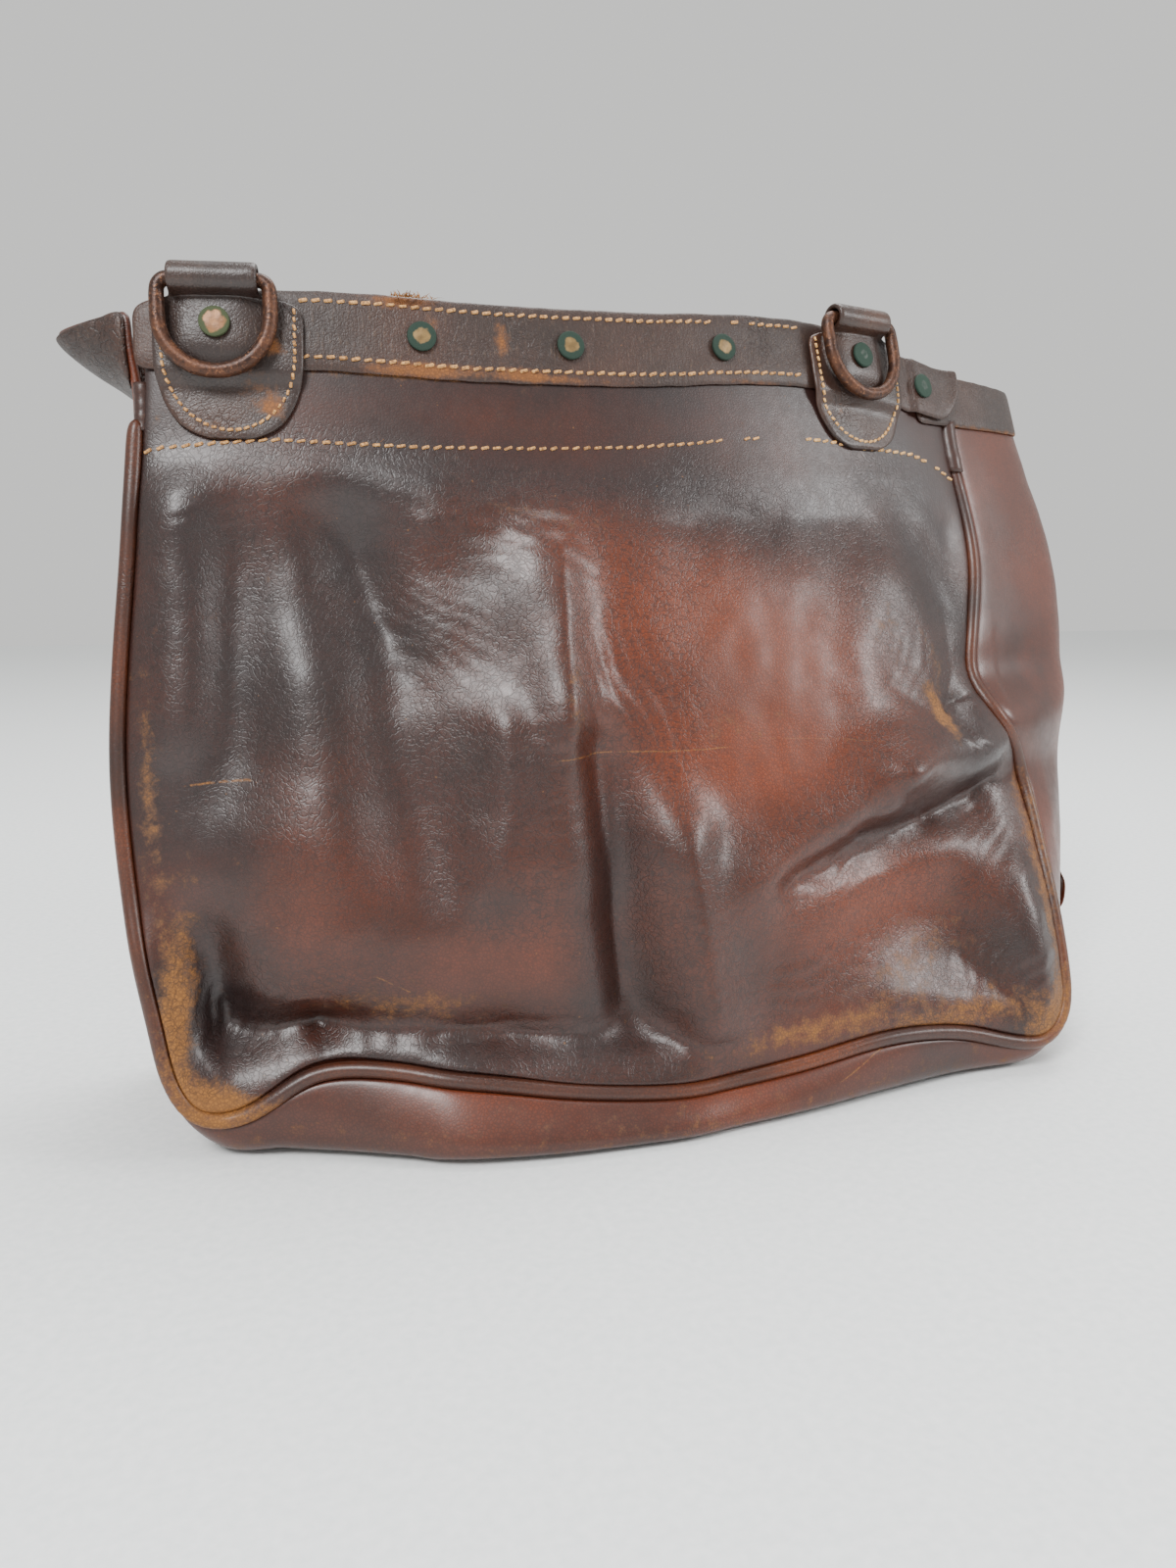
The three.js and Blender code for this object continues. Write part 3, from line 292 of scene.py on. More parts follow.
def tarnishedBrass(name, look):
    # Brass rivet head, handled to a dull tan in the middle and green with verdigris round the edge
    material, tree, where = startMaterial(name)
    outward = addNode(tree, "Attribute", {}, "Fac", attribute_name="outward")
    spots = addNode(tree, "TexNoise", {"Vector": where, "Scale": 1 / 0.003, "Detail": 5.0})
    share = addNode(tree, "MapRange", {0: spots, 1: 0.35, 2: 0.7})
    colour = addNode(tree, "Mix", {0: share, 6: linear(look["middle"]), 7: linear(look["stain"])}, 2,
                     data_type="RGBA")
    green = addNode(tree, "Math", {0: spots, 1: 0.5, 2: outward}, operation="MULTIPLY_ADD")
    green = addNode(tree, "MapRange", {0: green, 1: look["rim"] + 0.2, 2: look["rim"] + 0.36},
                    interpolation_type="SMOOTHSTEP")
    colour = addNode(tree, "Mix", {0: green, 6: colour, 7: linear(look["edge"])}, 2, data_type="RGBA")
    relief = addNode(tree, "Bump", {"Height": spots, "Strength": 0.4, "Distance": 0.0005})
    gloss = addNode(tree, "MapRange", {0: green, 1: 0.0, 2: 1.0, 3: 0.42, 4: 0.8})
    metal = addNode(tree, "BsdfPrincipled", {"Base Color": colour, "Normal": relief, "Roughness": gloss,
                                             "Metallic": 0.25})
    addNode(tree, "OutputMaterial", {0: metal})
    return material


def waxedThread(name, look):
    # Waxed linen thread, tan, with dirt between its plies
    material, tree, where = startMaterial(name)
    plies = addNode(tree, "TexNoise", {"Vector": where, "Scale": 1 / 0.0011, "Detail": 3.0})
    share = addNode(tree, "MapRange", {0: plies, 1: 0.35, 2: 0.62})
    colour = addNode(tree, "Mix", {0: share, 6: linear(look["dirty"]), 7: linear(look["clean"])}, 2,
                     data_type="RGBA")
    thread = addNode(tree, "BsdfPrincipled", {"Base Color": colour, "Roughness": 0.7})
    addNode(tree, "OutputMaterial", {0: thread})
    return material


def paleBoard():
    # White painted board with a fine rough finish
    material, tree, where = startMaterial("Pale board")
    tooth = addNode(tree, "TexNoise", {"Vector": where, "Scale": 1 / 0.004, "Detail": 4.0})
    share = addNode(tree, "MapRange", {0: tooth, 1: 0.3, 2: 0.7})
    colour = addNode(tree, "Mix", {0: share, 6: linear("#e8ecec"), 7: linear("#f4f6f6")}, 2, data_type="RGBA")
    relief = addNode(tree, "Bump", {"Height": tooth, "Strength": 0.2, "Distance": 0.0006})
    board = addNode(tree, "BsdfPrincipled", {"Base Color": colour, "Normal": relief, "Roughness": 0.75})
    addNode(tree, "OutputMaterial", {0: board})
    return material


panelLeather = oiledLeather("Oil-tanned panel leather", panelLook)
farLeather = oiledLeather("Oil-tanned far leather", farLook)
bandLeather = oiledLeather("Handled band leather", bandLook)
tabLeather = oiledLeather("Handled tab leather", tabLook)
gussetLeather = oiledLeather("Oil-tanned gusset leather", gussetLook)
pipingLeather = oiledLeather("Piping leather", pipingLook)
ringSteel = rustySteel()
bandBrass = tarnishedBrass("Brass rivet with verdigris",
                           {"middle": "#856a3f", "stain": "#5f4a2b", "edge": "#1e3127", "rim": 0.5})
darkBrass = tarnishedBrass("Dark green brass rivet",
                           {"middle": "#2f3a30", "stain": "#1f2a24", "edge": "#22372c", "rim": 0.3})
tabBrass = tarnishedBrass("Coppery brass rivet",
                          {"middle": "#8a5c30", "stain": "#67452a", "edge": "#3c452b", "rim": 0.66})
linenThread = waxedThread("Waxed linen thread", {"clean": "#cf9c60", "dirty": "#7a5029"})
brightThread = waxedThread("Cleaner linen thread", {"clean": "#e0b377", "dirty": "#a8763f"})
suedeFray = waxedThread("Torn suede fibres", {"clean": "#a5743f", "dirty": "#744a26"})
print("materials ready")


# folds of the near panel that are sharper than the solid's: from x, z to x, z, half width, proud; mm
creaseRows = [
    (-200, 276, -206, 176, 16, 1.6), (-180, 276, -178, 170, 17, -1.8), (-140, 262, -112, 205, 17, -4.0),
    (-152, 190, -140, 100, 22, 2.6), (-46, 256, -48, 180, 16, 2.6), (-48, 180, -56, 110, 17, 2.6),
    (-78, 180, -80, 112, 12, 2.4), (-34, 168, -20, 56, 13, -5.0), (2, 130, 12, 50, 16, 3.4),
    (-92, 240, -84, 150, 15, -2.6), (-8, 252, -2, 190, 18, 1.6), (184, 168, 120, 150, 11, 4.0),
    (120, 150, 36, 108, 15, 3.2), (60, 106, 170, 128, 10, -4.6), (120, 86, 152, 62, 24, -4.4),
    (186, 92, 196, 40, 13, 4.2), (110, 42, 160, 30, 12, 2.4), (-196, 92, -188, 54, 13, -2.4),
    (-188, 50, -154, 52, 11, -2.8), (-150, 52, -4, 43, 9, -3.2), (-120, 36, -30, 33, 8, 2.6),
    (136, 292, 170, 196, 14, -2.6), (-150, 285, -92, 281, 8, 2.0), (30, 262, 110, 262, 18, -2.2),
    (118, 240, 104, 190, 16, 2.0), (50, 104, 96, 121, 4.5, -2.6), (96, 121, 140, 124, 4.0, -3.4),
    (140, 124, 182, 139, 4.0, -3.6), (60, 113, 110, 131, 9, 1.6), (110, 131, 180, 152, 9, 2.4),
    (156, 176, 178, 182, 4, -3.0), (150, 170, 120, 150, 6, 1.4), (146, 186, 132, 214, 8, 0.7),
    (158, 190, 150, 240, 8, -0.8), (168, 188, 172, 230, 8, 0.9), (140, 176, 118, 190, 4, -1.2),
    (-154, 53, -60, 41, 5, -2.2), (-60, 41, 20, 38, 5, -1.4), (-200, 88, -190, 56, 6, -1.0),
    (-196, 50, -158, 54, 5, -2.6), (-206, 70, -200, 40, 4, 1.6), (-186, 72, -150, 66, 7, 1.8),
    (-46, 252, -48, 160, 6, 1.8), (-36, 170, -24, 60, 6, -2.0), (3, 124, 12, 47, 7, 2.0),
    (-74, 178, -77, 112, 6, 1.2), (-60, 270, 20, 262, 5, -1.0), (-104, 262, -60, 276, 4, 0.9),
    (150, 60, 176, 36, 6, -1.8), (168, 92, 186, 60, 7, 1.6), (-130, 250, -118, 214, 8, -1.4),
    (20, 280, 60, 262, 7, -0.9), (-30, 204, 0, 188, 5, -1.0),
]
# bundles of wrinkles: middle x, z, half width, half height, turn, spacing, depth; mm
wrinkleRows = [
    (-60, 264, 52, 17, -14, 8.0, 0.55), (-102, 221, 24, 18, -22, 7.0, 0.5), (98, 119, 48, 15, 16, 7.0, 0.7),
    (150, 192, 20, 24, 62, 7.5, 0.25), (160, 170, 18, 10, -28, 6.0, 0.6), (8, 80, 14, 40, 6, 5.5, 0.45),
    (-56, 150, 14, 40, 4, 6.0, 0.35), (-195, 60, 18, 26, 70, 6.0, 0.7), (-165, 60, 26, 12, 8, 6.0, 0.6),
    (175, 120, 16, 26, 40, 6.5, 0.6), (-20, 190, 26, 22, -60, 7.0, 0.4), (178, 50, 14, 26, 60, 7.0, 0.5),
    (-196, 262, 20, 16, 12, 6.0, 0.45), (-80, 48, 50, 6, 3, 6.5, 0.5), (60, 60, 40, 12, 12, 7.0, 0.35),
]

panelFolds = {
    # folds no wider than sharp have a tight, rounded tip
    "fuller": 0.7 * mm, "sharp": 8, "tip": 2.2, "tipReach": 1.5,
    "foldCrease": 0.5, "creaseReach": 2.0, "wrinkleCrease": 0.9, "plainCrease": 0.12,
    "wander": 7, "wanderGrain": 0.024, "slope": 0.08,      # how far the wrinkles stray
    "uneven": [(0.9, 0.04, 2), (0.35, 0.013, 3)],
    "flatFrom": 268, "flatOver": 22,      # flat behind the bands
}


def foldPanel(piece):
    # sharper creases, wrinkle bundles and the soft unevenness of an old hide
    look = panelFolds
    points = places(piece)
    x, z = points[:, 0] / mm, points[:, 2] / mm
    push = np.zeros(len(points))
    crease = np.zeros(len(points))
    for x0, z0, x1, z1, wide, proud in creaseRows:
        dx, dz = x1 - x0, z1 - z0
        t = np.clip(((x - x0) * dx + (z - z0) * dz) / (dx * dx + dz * dz), 0, 1)
        away = np.hypot(x - x0 - dx * t, z - z0 - dz * t)
        if wide > look["sharp"]:
            fade = np.exp(-(away / wide) ** 2)
        else:
            fade = np.exp(-(np.sqrt(away * away + look["tip"]) - look["tipReach"]) / wide)
        push += proud * fade
        crease += look["foldCrease"] * np.exp(-(away / (wide * look["creaseReach"])) ** 2)
    wander = roughField(points, look["wanderGrain"], 1) * look["wander"]
    for cx, cz, wide, tall, turn, spacing, depth in wrinkleRows:
        a = math.radians(turn)
        u = (x - cx) * math.cos(a) + (z - cz) * math.sin(a)
        v = -(x - cx) * math.sin(a) + (z - cz) * math.cos(a)
        spot = np.exp(-(u / wide) ** 2 - (v / tall) ** 2)
        wave = 1 - 2 * np.abs(np.sin(np.pi * (v + wander + look["slope"] * u) / spacing))
        push += depth * spot * wave
        crease += look["wrinkleCrease"] * spot
    push += swells(points, look["uneven"])
    below = 1 - np.clip((z - look["flatFrom"]) / look["flatOver"], 0, 1)
    points[:, 1] -= push * mm * below * seamFade(points, "near_piping")
    moveTo(piece, points)
    return crease


seam = {"still": 5, "over": 15, "curve": 1.3}      # mm


def seamFade(points, *nodeNames):
    # folds die out towards the sewn edges, so that the seams stay shut
    sewn = np.concatenate([places(frame["nodes"][name]) for name in nodeNames])
    nearest = KDTree(len(sewn))
    for i, p in enumerate(sewn):
        nearest.insert(p, i)
    nearest.balance()
    away = np.array([nearest.find(p)[2] for p in points]) / mm
    return np.clip((away - seam["still"]) / seam["over"], 0, 1) ** seam["curve"]


# soft spots on the near panel: middle x, z, half widths, turn, strength; mm and degrees
# grime spots: partly real grime, partly painted shade along the creases and valleys of the folds and under
# the facing row
grimeAndShadeSpots = [
    (-205, 250, 34, 80, 0, 0.8), (-200, 150, 30, 60, 0, 0.55), (-130, 240, 30, 50, -20, 0.85),
    (-110, 150, 30, 60, 10, 0.6), (-60, 282, 100, 14, 0, 0.6), (70, 270, 84, 20, -4, 0.95),
    (162, 245, 26, 60, 10, 1.0), (112, 124, 60, 12, 15, 0.8), (172, 155, 24, 26, 0, 0.85),
    (-30, 110, 14, 60, -8, 0.8), (-40, 40, 150, 11, 0, 0.75), (-195, 62, 20, 26, 0, 0.9),
    (-70, 190, 18, 60, 0, 0.5), (10, 326, 260, 34, 0, 0.8), (190, 60, 14, 44, 0, 0.6),
    (-170, 200, 20, 60, 0, 0.35), (60, 250, 16, 18, 0, 0.4), (120, 214, 22, 30, 20, 0.45),
    (-100, 60, 60, 14, 0, 0.3),
]
glowSpots = [
    (22, 226, 52, 34, 8, 0.9), (84, 200, 46, 34, 0, 0.75), (-40, 262, 30, 22, 0, 0.5),
    (34, 158, 56, 24, 0, 1.1), (104, 92, 52, 30, 10, 1.0), (-92, 82, 40, 20, 0, 0.45),
    (-156, 112, 20, 34, 0, 0.4), (-20, 200, 24, 50, 0, 0.35), (-58, 96, 14, 40, 0, 0.3),
    (-50, 310, 200, 8, 0, 0.15), (50, 40, 80, 10, 0, 0.55), (-165, 272, 20, 10, 0, 0.35),
    (-122, 122, 20, 22, 0, 0.35), (60, 110, 30, 20, 20, 0.4),
]
rubSpots = [
    (148, 176, 6, 13, 25, 1.0), (-211, 62, 7, 40, -6, 0.95), (-196, 27, 24, 8, -20, 1.0),
    (-160, 26, 20, 5, 10, 0.6), (203, 90, 6, 70, 0, 0.6), (197, 24, 18, 12, 20, 0.85),
    (140, 32, 54, 9, 8, 0.62), (-100, 326, 34, 3.5, 0, 0.75), (-60, 325, 70, 2.2, 0, 0.5),
    (-217, 150, 5, 60, 0, 0.4), (150, 200, 4, 20, 30, 0.4), (60, 38, 50, 6, 4, 0.5),
    (-120, 64, 40, 9, -8, 0.4), (34, 178, 30, 10, 0, 0.25), (-46, 190, 5, 24, 0, 0.35),
    (120, 60, 40, 16, 20, 0.35), (120, 214, 8, 18, 30, 0.3), (-60, 268, 30, 5, -12, 0.3),
]

nearPanel = softCopy("ring_panel", "NearPanel", 3, grow=panelFolds["fuller"])
creased = foldPanel(nearPanel)
points = places(nearPanel)
px, pz = points[:, 0], points[:, 2]
mark(nearPanel, "grimeAndShade", zonesAt(px, pz, grimeAndShadeSpots))
mark(nearPanel, "glow", zonesAt(px, pz, glowSpots))
mark(nearPanel, "rub", zonesAt(px, pz, rubSpots))
mark(nearPanel, "crease", panelFolds["plainCrease"] + creased)
settle(nearPanel, panelLeather, "bag", "panel_leather", "ring_panel")

farSheet = {
    "fuller": 0.7 * mm, "flatFrom": 285, "flatOver": 25, "footRub": 0.6, "footHeight": 0.03,
    "swells": [(4.5, 0.11, 4), (1.6, 0.045, 31), (0.35, 0.014, 5)],
    # middle value, swing, grain in metres, seed
    "grimeAndShade": (0.35, 0.6, 0.12, 6), "glow": (0.45, 0.8, 0.09, 7), "crease": (0.3, 0.5, 0.05, 8),
}
farPanel = softCopy("far_panel", "FarPanel", 3, grow=farSheet["fuller"])
points = places(farPanel)
below = 1 - np.clip((points[:, 2] / mm - farSheet["flatFrom"]) / farSheet["flatOver"], 0, 1)
points[:, 1] += swells(points, farSheet["swells"]) * mm * below * seamFade(points, "far_piping")
moveTo(farPanel, points)
low = np.clip((farSheet["footHeight"] - points[:, 2]) / farSheet["footHeight"], 0, 1)
mark(farPanel, "grimeAndShade", patchy(points, *farSheet["grimeAndShade"]))
mark(farPanel, "glow", patchy(points, *farSheet["glow"]))
mark(farPanel, "rub", low * farSheet["footRub"])
mark(farPanel, "crease", patchy(points, *farSheet["crease"]))
settle(farPanel, farLeather, "bag", "panel_leather", "far_panel")
print("panels done")

gussetSheet = {
    "fuller": 0.8 * mm, "swells": [(2.2, 0.06, 32), (0.6, 0.02, 9)], "sidesFrom": 0.2,
    "calmBelow": 0.012, "calmAbove": 0.318, "calmOver": 0.02, "footHeight": 0.03,
    "grimeAndShade": (0.2, 0.7, 0.08, 10), "glow": (0.4, 0.9, 0.06, 11), "crease": (0.25, 0.7, 0.05, 12),
    "rimDarkening": 0.25, "rimFrom": 0.24, "rimOver": 0.06, "footDarkening": 0.3, "frontOf": -0.03,
    "footRub": 0.25, "offFloor": 0.004, "footCrease": 0.4,
    "bulgeRub": 0.5, "bulgeHeight": 0.085, "bulgeOver": 0.02, "bulgeFrom": 0.235,      # low on the right side
}
gusset = softCopy("gusset", "GussetLeather", 3, grow=gussetSheet["fuller"])
points = places(gusset)
gx, gy, gz = points[:, 0], points[:, 1], points[:, 2]
ease = np.clip((gz - gussetSheet["calmBelow"]) / gussetSheet["calmOver"], 0, 1)
ease *= np.clip((gussetSheet["calmAbove"] - gz) / gussetSheet["calmOver"], 0, 1)
ease *= seamFade(points, "near_piping", "far_piping")
points[:, 0] += swells(points, gussetSheet["swells"]) * mm * ease * (np.abs(gx) > gussetSheet["sidesFrom"])
points[:, 2] = np.maximum(points[:, 2], 0)      # the base stays on the floor
moveTo(gusset, points)
low = np.clip((gussetSheet["footHeight"] - gz) / gussetSheet["footHeight"], 0, 1)
grimeAndShade = patchy(points, *gussetSheet["grimeAndShade"])
# darker towards the top of the gusset and along the front of its foot
grimeAndShade += gussetSheet["rimDarkening"] * np.clip((gz - gussetSheet["rimFrom"]) / gussetSheet["rimOver"], 0, 1)
grimeAndShade += gussetSheet["footDarkening"] * low * (gy < gussetSheet["frontOf"])
bulge = np.exp(-((gz - gussetSheet["bulgeHeight"]) / gussetSheet["bulgeOver"]) ** 2)
rub = gussetSheet["footRub"] * low * (gz > gussetSheet["offFloor"])
rub += gussetSheet["bulgeRub"] * bulge * (gx > gussetSheet["bulgeFrom"])
mark(gusset, "grimeAndShade", grimeAndShade)
mark(gusset, "glow", patchy(points, *gussetSheet["glow"]))
mark(gusset, "rub", rub)
mark(gusset, "crease", patchy(points, *gussetSheet["crease"]) + gussetSheet["footCrease"] * low)
settle(gusset, gussetLeather, "bag", "gusset_leather", "gusset")

pipingCord = {
    "fuller": 1.4 * mm,      # fills its seam
    "grimeAndShade": (0.3, 0.8, 0.05, 13), "glow": (0.5, 0.8, 0.03, 14), "crease": (0.4, 0.5, 0.02, 15),
    "rub": [(-206, 40, 16, 40, 0, 0.6), (-180, 20, 30, 10, 0, 0.6), (200, 30, 20, 20, 0, 0.6),
            (210, 110, 8, 60, 0, 0.45)],
}
for nodeName, pieceName in (("near_piping", "NearPiping"), ("far_piping", "FarPiping")):
    piping = softCopy(nodeName, pieceName, 2, grow=pipingCord["fuller"])
    points = places(piping)
    mark(piping, "grimeAndShade", patchy(points, *pipingCord["grimeAndShade"]))
    mark(piping, "glow", patchy(points, *pipingCord["glow"]))
    mark(piping, "rub", zonesAt(points[:, 0], points[:, 2], pipingCord["rub"]))
    mark(piping, "crease", patchy(points, *pipingCord["crease"]))
    settle(piping, pipingLeather, "bag", "piping_leather", nodeName)

bandStrip = {
    "crumple": [(0.25, 0.012, 16)], "curl": [(0.35, 0.009, 18)],      # hand-cut, curling edges
    # the ear is crinkled across its length
    "earFrom": -206, "earOver": 14, "ripple": 0.7, "rippleWide": 3.1, "rippleStray": 5, "strayGrain": 0.03,
    "grimeAndShade": (0.55, 0.8, 0.05, 19), "glow": (0.3, 0.9, 0.04, 20),
    "crease": (0.35, 0.5, 0.02, 21), "earCrease": (0.9, 0.5, 0.02, 21),
    "rub": [(-100, 326, 22, 3.5, 0, 0.95), (-108, 354, 16, 3, 0, 0.8), (-95, 345, 4, 4, 0, 0.6),
            (-65, 340, 3, 9, 0, 0.7), (-55, 326, 12, 3, 0, 0.6), (-40, 325, 30, 2, 0, 0.5),
            (60, 330, 30, 2, 0, 0.4)],
    "flareRub": 0.8, "flareBelow": 322, "flareOver": 4, "flareFrom": 190,      # lower edge on the right side
}
bandPieces = {}
for nodeName, pieceName, levels in (("near_rim_band", "NearRimBand", 3),
                                    ("far_rim_band", "FarRimBand", 2),
                                    ("left_side_band", "LeftEarBand", 3),
                                    ("right_side_band", "RightSideBand", 3)):
    band = softCopy(nodeName, pieceName, levels)
    points = places(band)
    x, z = points[:, 0] / mm, points[:, 2] / mm
    crumple = swells(points, bandStrip["crumple"])
    creaseRow = bandStrip["crease"]
    if nodeName == "left_side_band":
        ear = np.clip((bandStrip["earFrom"] - x) / bandStrip["earOver"], 0, 1)
        stray = bandStrip["rippleStray"] * roughField(points, bandStrip["strayGrain"], 17)
        crumple += ear * bandStrip["ripple"] * np.sin(x / bandStrip["rippleWide"] + stray)
        creaseRow = bandStrip["earCrease"]
    points[:, 1] += crumple * mm
    points[:, 2] += mm * swells(points, bandStrip["curl"])
    moveTo(band, points)
    rub = zonesAt(points[:, 0], points[:, 2], bandStrip["rub"] if nodeName == "near_rim_band" else [])
    if nodeName == "right_side_band":
        edge = np.clip((bandStrip["flareBelow"] - z) / bandStrip["flareOver"], 0, 1)
        rub += bandStrip["flareRub"] * edge * (x > bandStrip["flareFrom"])
    mark(band, "grimeAndShade", patchy(points, *bandStrip["grimeAndShade"]))
    mark(band, "glow", patchy(points, *bandStrip["glow"]))
    mark(band, "rub", rub)
    mark(band, "crease", patchy(points, *creaseRow))
    settle(band, bandLeather, "bag", "band_leather", nodeName)
    bandPieces[nodeName] = band

tabStrap = {
    "uneven": 0.18, "grains": [(0.01, 22), (0.011, 23), (0.012, 24)],
    "grimeAndShade": (0.6, 0.7, 0.03, 25), "glow": (0.35, 1.0, 0.025, 26), "crease": (0.35, 0.6, 0.02, 27),
    "rub": {"left": [(-161, 333, 5, 3.4, -30, 0.95), (-162, 309, 4.5, 4, 0, 0.9), (-167, 318, 9, 9, 30, 0.3),
                     (-187, 300, 10, 4, 0, 0.25)],
            "right": [(108, 320, 3, 3, 0, 0.4)]},
}
tabPieces = {}
for side in ("left", "right"):
    tab = softCopy(side + "_ring_tab", side.capitalize() + "RingTab", 3)
    points = places(tab)
    uneven = [roughField(points, grain, seed) for grain, seed in tabStrap["grains"]]
    points += tabStrap["uneven"] * mm * np.stack(uneven, -1)
    moveTo(tab, points)
    mark(tab, "grimeAndShade", patchy(points, *tabStrap["grimeAndShade"]))
    mark(tab, "glow", patchy(points, *tabStrap["glow"]))
    mark(tab, "rub", zonesAt(points[:, 0], points[:, 2], tabStrap["rub"][side]))
    mark(tab, "crease", patchy(points, *tabStrap["crease"]))
    settle(tab, tabLeather, "bag", "band_leather", side + "_ring_tab")
    tabPieces[side] = tab

keeperStrap = {"grimeAndShade": (0.5, 0.7, 0.02, 33), "glow": (0.4, 0.7, 0.02, 32), "rub": (0.15, 0.7, 0.02, 31),
               "crease": (0.4, 0.7, 0.02, 34)}
keeperPieces = {}
for side in ("left", "right"):
    keeper = softCopy(side + "_keeper", side.capitalize() + "Keeper", 3)
    points = places(keeper)
    for name, zone in keeperStrap.items():
        mark(keeper, name, patchy(points, *zone))
    settle(keeper, gussetLeather, "bag", "gusset_leather", side + "_keeper")
    keeperPieces[side] = keeper
print("bands, tabs and keepers done")

# short ends that carry each piping up under the bands, and fill the top of the far seam; mm
pipingEnd = {
    "radius": 3.1, "spare": 0.8, "sides": 12, "steps": 14, "slice": 2.5, "rimWidth": 2,
    "overlap": {"near_piping": 4, "far_piping": 45}, "under": {"near_piping": 3, "far_piping": 8},
    "bandAbove": 35, "bandReach": 30,
    "zones": {"grimeAndShade": 0.6, "glow": 0.3, "rub": 0.1, "crease": 0.3},
}


def nearestPart(points, spot, reach):
    # the middle of what lies nearest to a spot
    away = np.linalg.norm(points - spot, axis=1)
    return points[away < away.min() + reach * mm].mean(0)


def endCentres(nodeName, sheet, cord, side, band, way):
    # middle and radius of each round of one end, from the gap that it fills
    low = cord[:, 2].max() - pipingEnd["overlap"][nodeName] * mm
    edge = sheet[np.abs(sheet[:, 2] - low) < 3 * mm]
    corner = edge[np.argmax(edge[:, 0] * way)]
    aim = corner + [0, 0, pipingEnd["bandAbove"] * mm]
    above = band[np.linalg.norm(band - aim, axis=1) < pipingEnd["bandReach"] * mm]
    high = above[:, 2].min() + pipingEnd["under"][nodeName] * mm
    centres = []
    for z in np.linspace(low, high, pipingEnd["steps"]):
        row = sheet[np.abs(sheet[:, 2] - z) < pipingEnd["slice"] * mm]
        rim = row[row[:, 0] * way > (row[:, 0] * way).max() - pipingEnd["rimWidth"] * mm].mean(0)
        wall = nearestPart(side[np.abs(side[:, 2] - z) < pipingEnd["slice"] * mm], rim, pipingEnd["rimWidth"])
        wide = max(pipingEnd["radius"] * mm, np.linalg.norm(rim - wall) / 2 + pipingEnd["spare"] * mm)
        centres.append(((rim + wall) / 2, wide))
    return centres


def pipingTops():
    points, faces = [], []
    n = pipingEnd["sides"]
    for nodeName, panel in (("near_piping", nearPanel), ("far_piping", farPanel)):
        for way, bandName in ((-1, "left_side_band"), (1, "right_side_band")):
            around = (panel, frame["nodes"][nodeName], gusset, bandPieces[bandName])
            sheet, cord, side, band = [p[p[:, 0] * way > 0.1] for p in map(places, around)]
            centres = endCentres(nodeName, sheet, cord, side, band, way)
            base = len(points)
            for centre, wide in centres:
                for k in range(n):
                    a = 2 * math.pi * k / n
                    points.append(centre + np.array([math.cos(a), math.sin(a), 0]) * wide)
            for i in range(len(centres) - 1):
                ring = base + i * n
                for k in range(n):
                    j = (k + 1) % n
                    faces.append([ring + k, ring + j, ring + n + j, ring + n + k])
            faces.append([base + k for k in reversed(range(n))])
            faces.append([base + (len(centres) - 1) * n + k for k in range(n)])
    piece = meshPiece("PipingTops", points, faces)
    activate(piece)
    bpy.ops.object.shade_smooth()
    return piece


tops = pipingTops()
for name, value in pipingEnd["zones"].items():
    mark(tops, name, np.full(len(tops.data.vertices), value))
settle(tops, pipingLeather, "bag", "piping_leather")

# rust makes the wire fuller and uneven
ringWire = {"fuller": 0.28 * mm, "dents": 0.12, "dentSize": 0.006, "middle": 0.02}
for side in ("left", "right"):
    ring = softCopy(side + "_d_ring", side.capitalize() + "Ring", 2, grow=ringWire["fuller"])
    points = places(ring)
    fromMiddle = (points - points.mean(0)) / ringWire["middle"]
    points += ringWire["dents"] * mm * roughField(points, ringWire["dentSize"], 40)[:, None] * fromMiddle
    moveTo(ring, points)
    settle(ring, ringSteel, "ring_" + side, "rusted_steel", side + "_d_ring")

rivet = {
    "radius": 6.2 * mm, "thick": 1.4 * mm, "sides": 40, "shoulder": 0.35 * mm,
    "insets": [(0.9 * mm, 0.12 * mm), (1.6 * mm, 0.12 * mm), (1.8 * mm, 0.075 * mm)],      # inwards, up
    "dents": 0.16 * mm, "dentSize": 0.004,
}


def rivetHead():
    # a disc with a soft shoulder and a low dome, lying on z = 0; each copy is dented to a hammered face later
    bpy.ops.object.select_all(action="DESELECT")
    bpy.ops.mesh.primitive_cylinder_add(vertices=rivet["sides"], radius=rivet["radius"], depth=rivet["thick"],
                                        location=(0, 0, rivet["thick"] / 2))
    head = bpy.context.object
    bpy.ops.object.mode_set(mode="EDIT")
    bpy.ops.mesh.select_all(action="DESELECT")
    bpy.ops.object.mode_set(mode="OBJECT")
    for face in head.data.polygons:
        face.select = face.normal.z > 0.9
    bpy.ops.object.mode_set(mode="EDIT")
    for inwards, up in rivet["insets"]:
        bpy.ops.mesh.inset(thickness=inwards, depth=up)
    bpy.ops.object.mode_set(mode="OBJECT")
    rounding = head.modifiers.new("round", "BEVEL")
    rounding.width = rivet["shoulder"]
    rounding.segments = 2
    bpy.ops.object.modifier_apply(modifier="round")
    bpy.ops.object.transform_apply(location=True, rotation=True, scale=True)
    bpy.ops.object.shade_smooth()
    return head


def seatOf(nodeName):
    # middle of the solid rivet's back and the way it faces
    points = places(frame["nodes"][nodeName])
    middle = points.mean(0)
    axis = np.linalg.svd(points - middle)[2][2]
    if axis[1] > 0:
        axis = -axis
    back = ((points - middle) @ axis).min()
    return middle + axis * back, axis


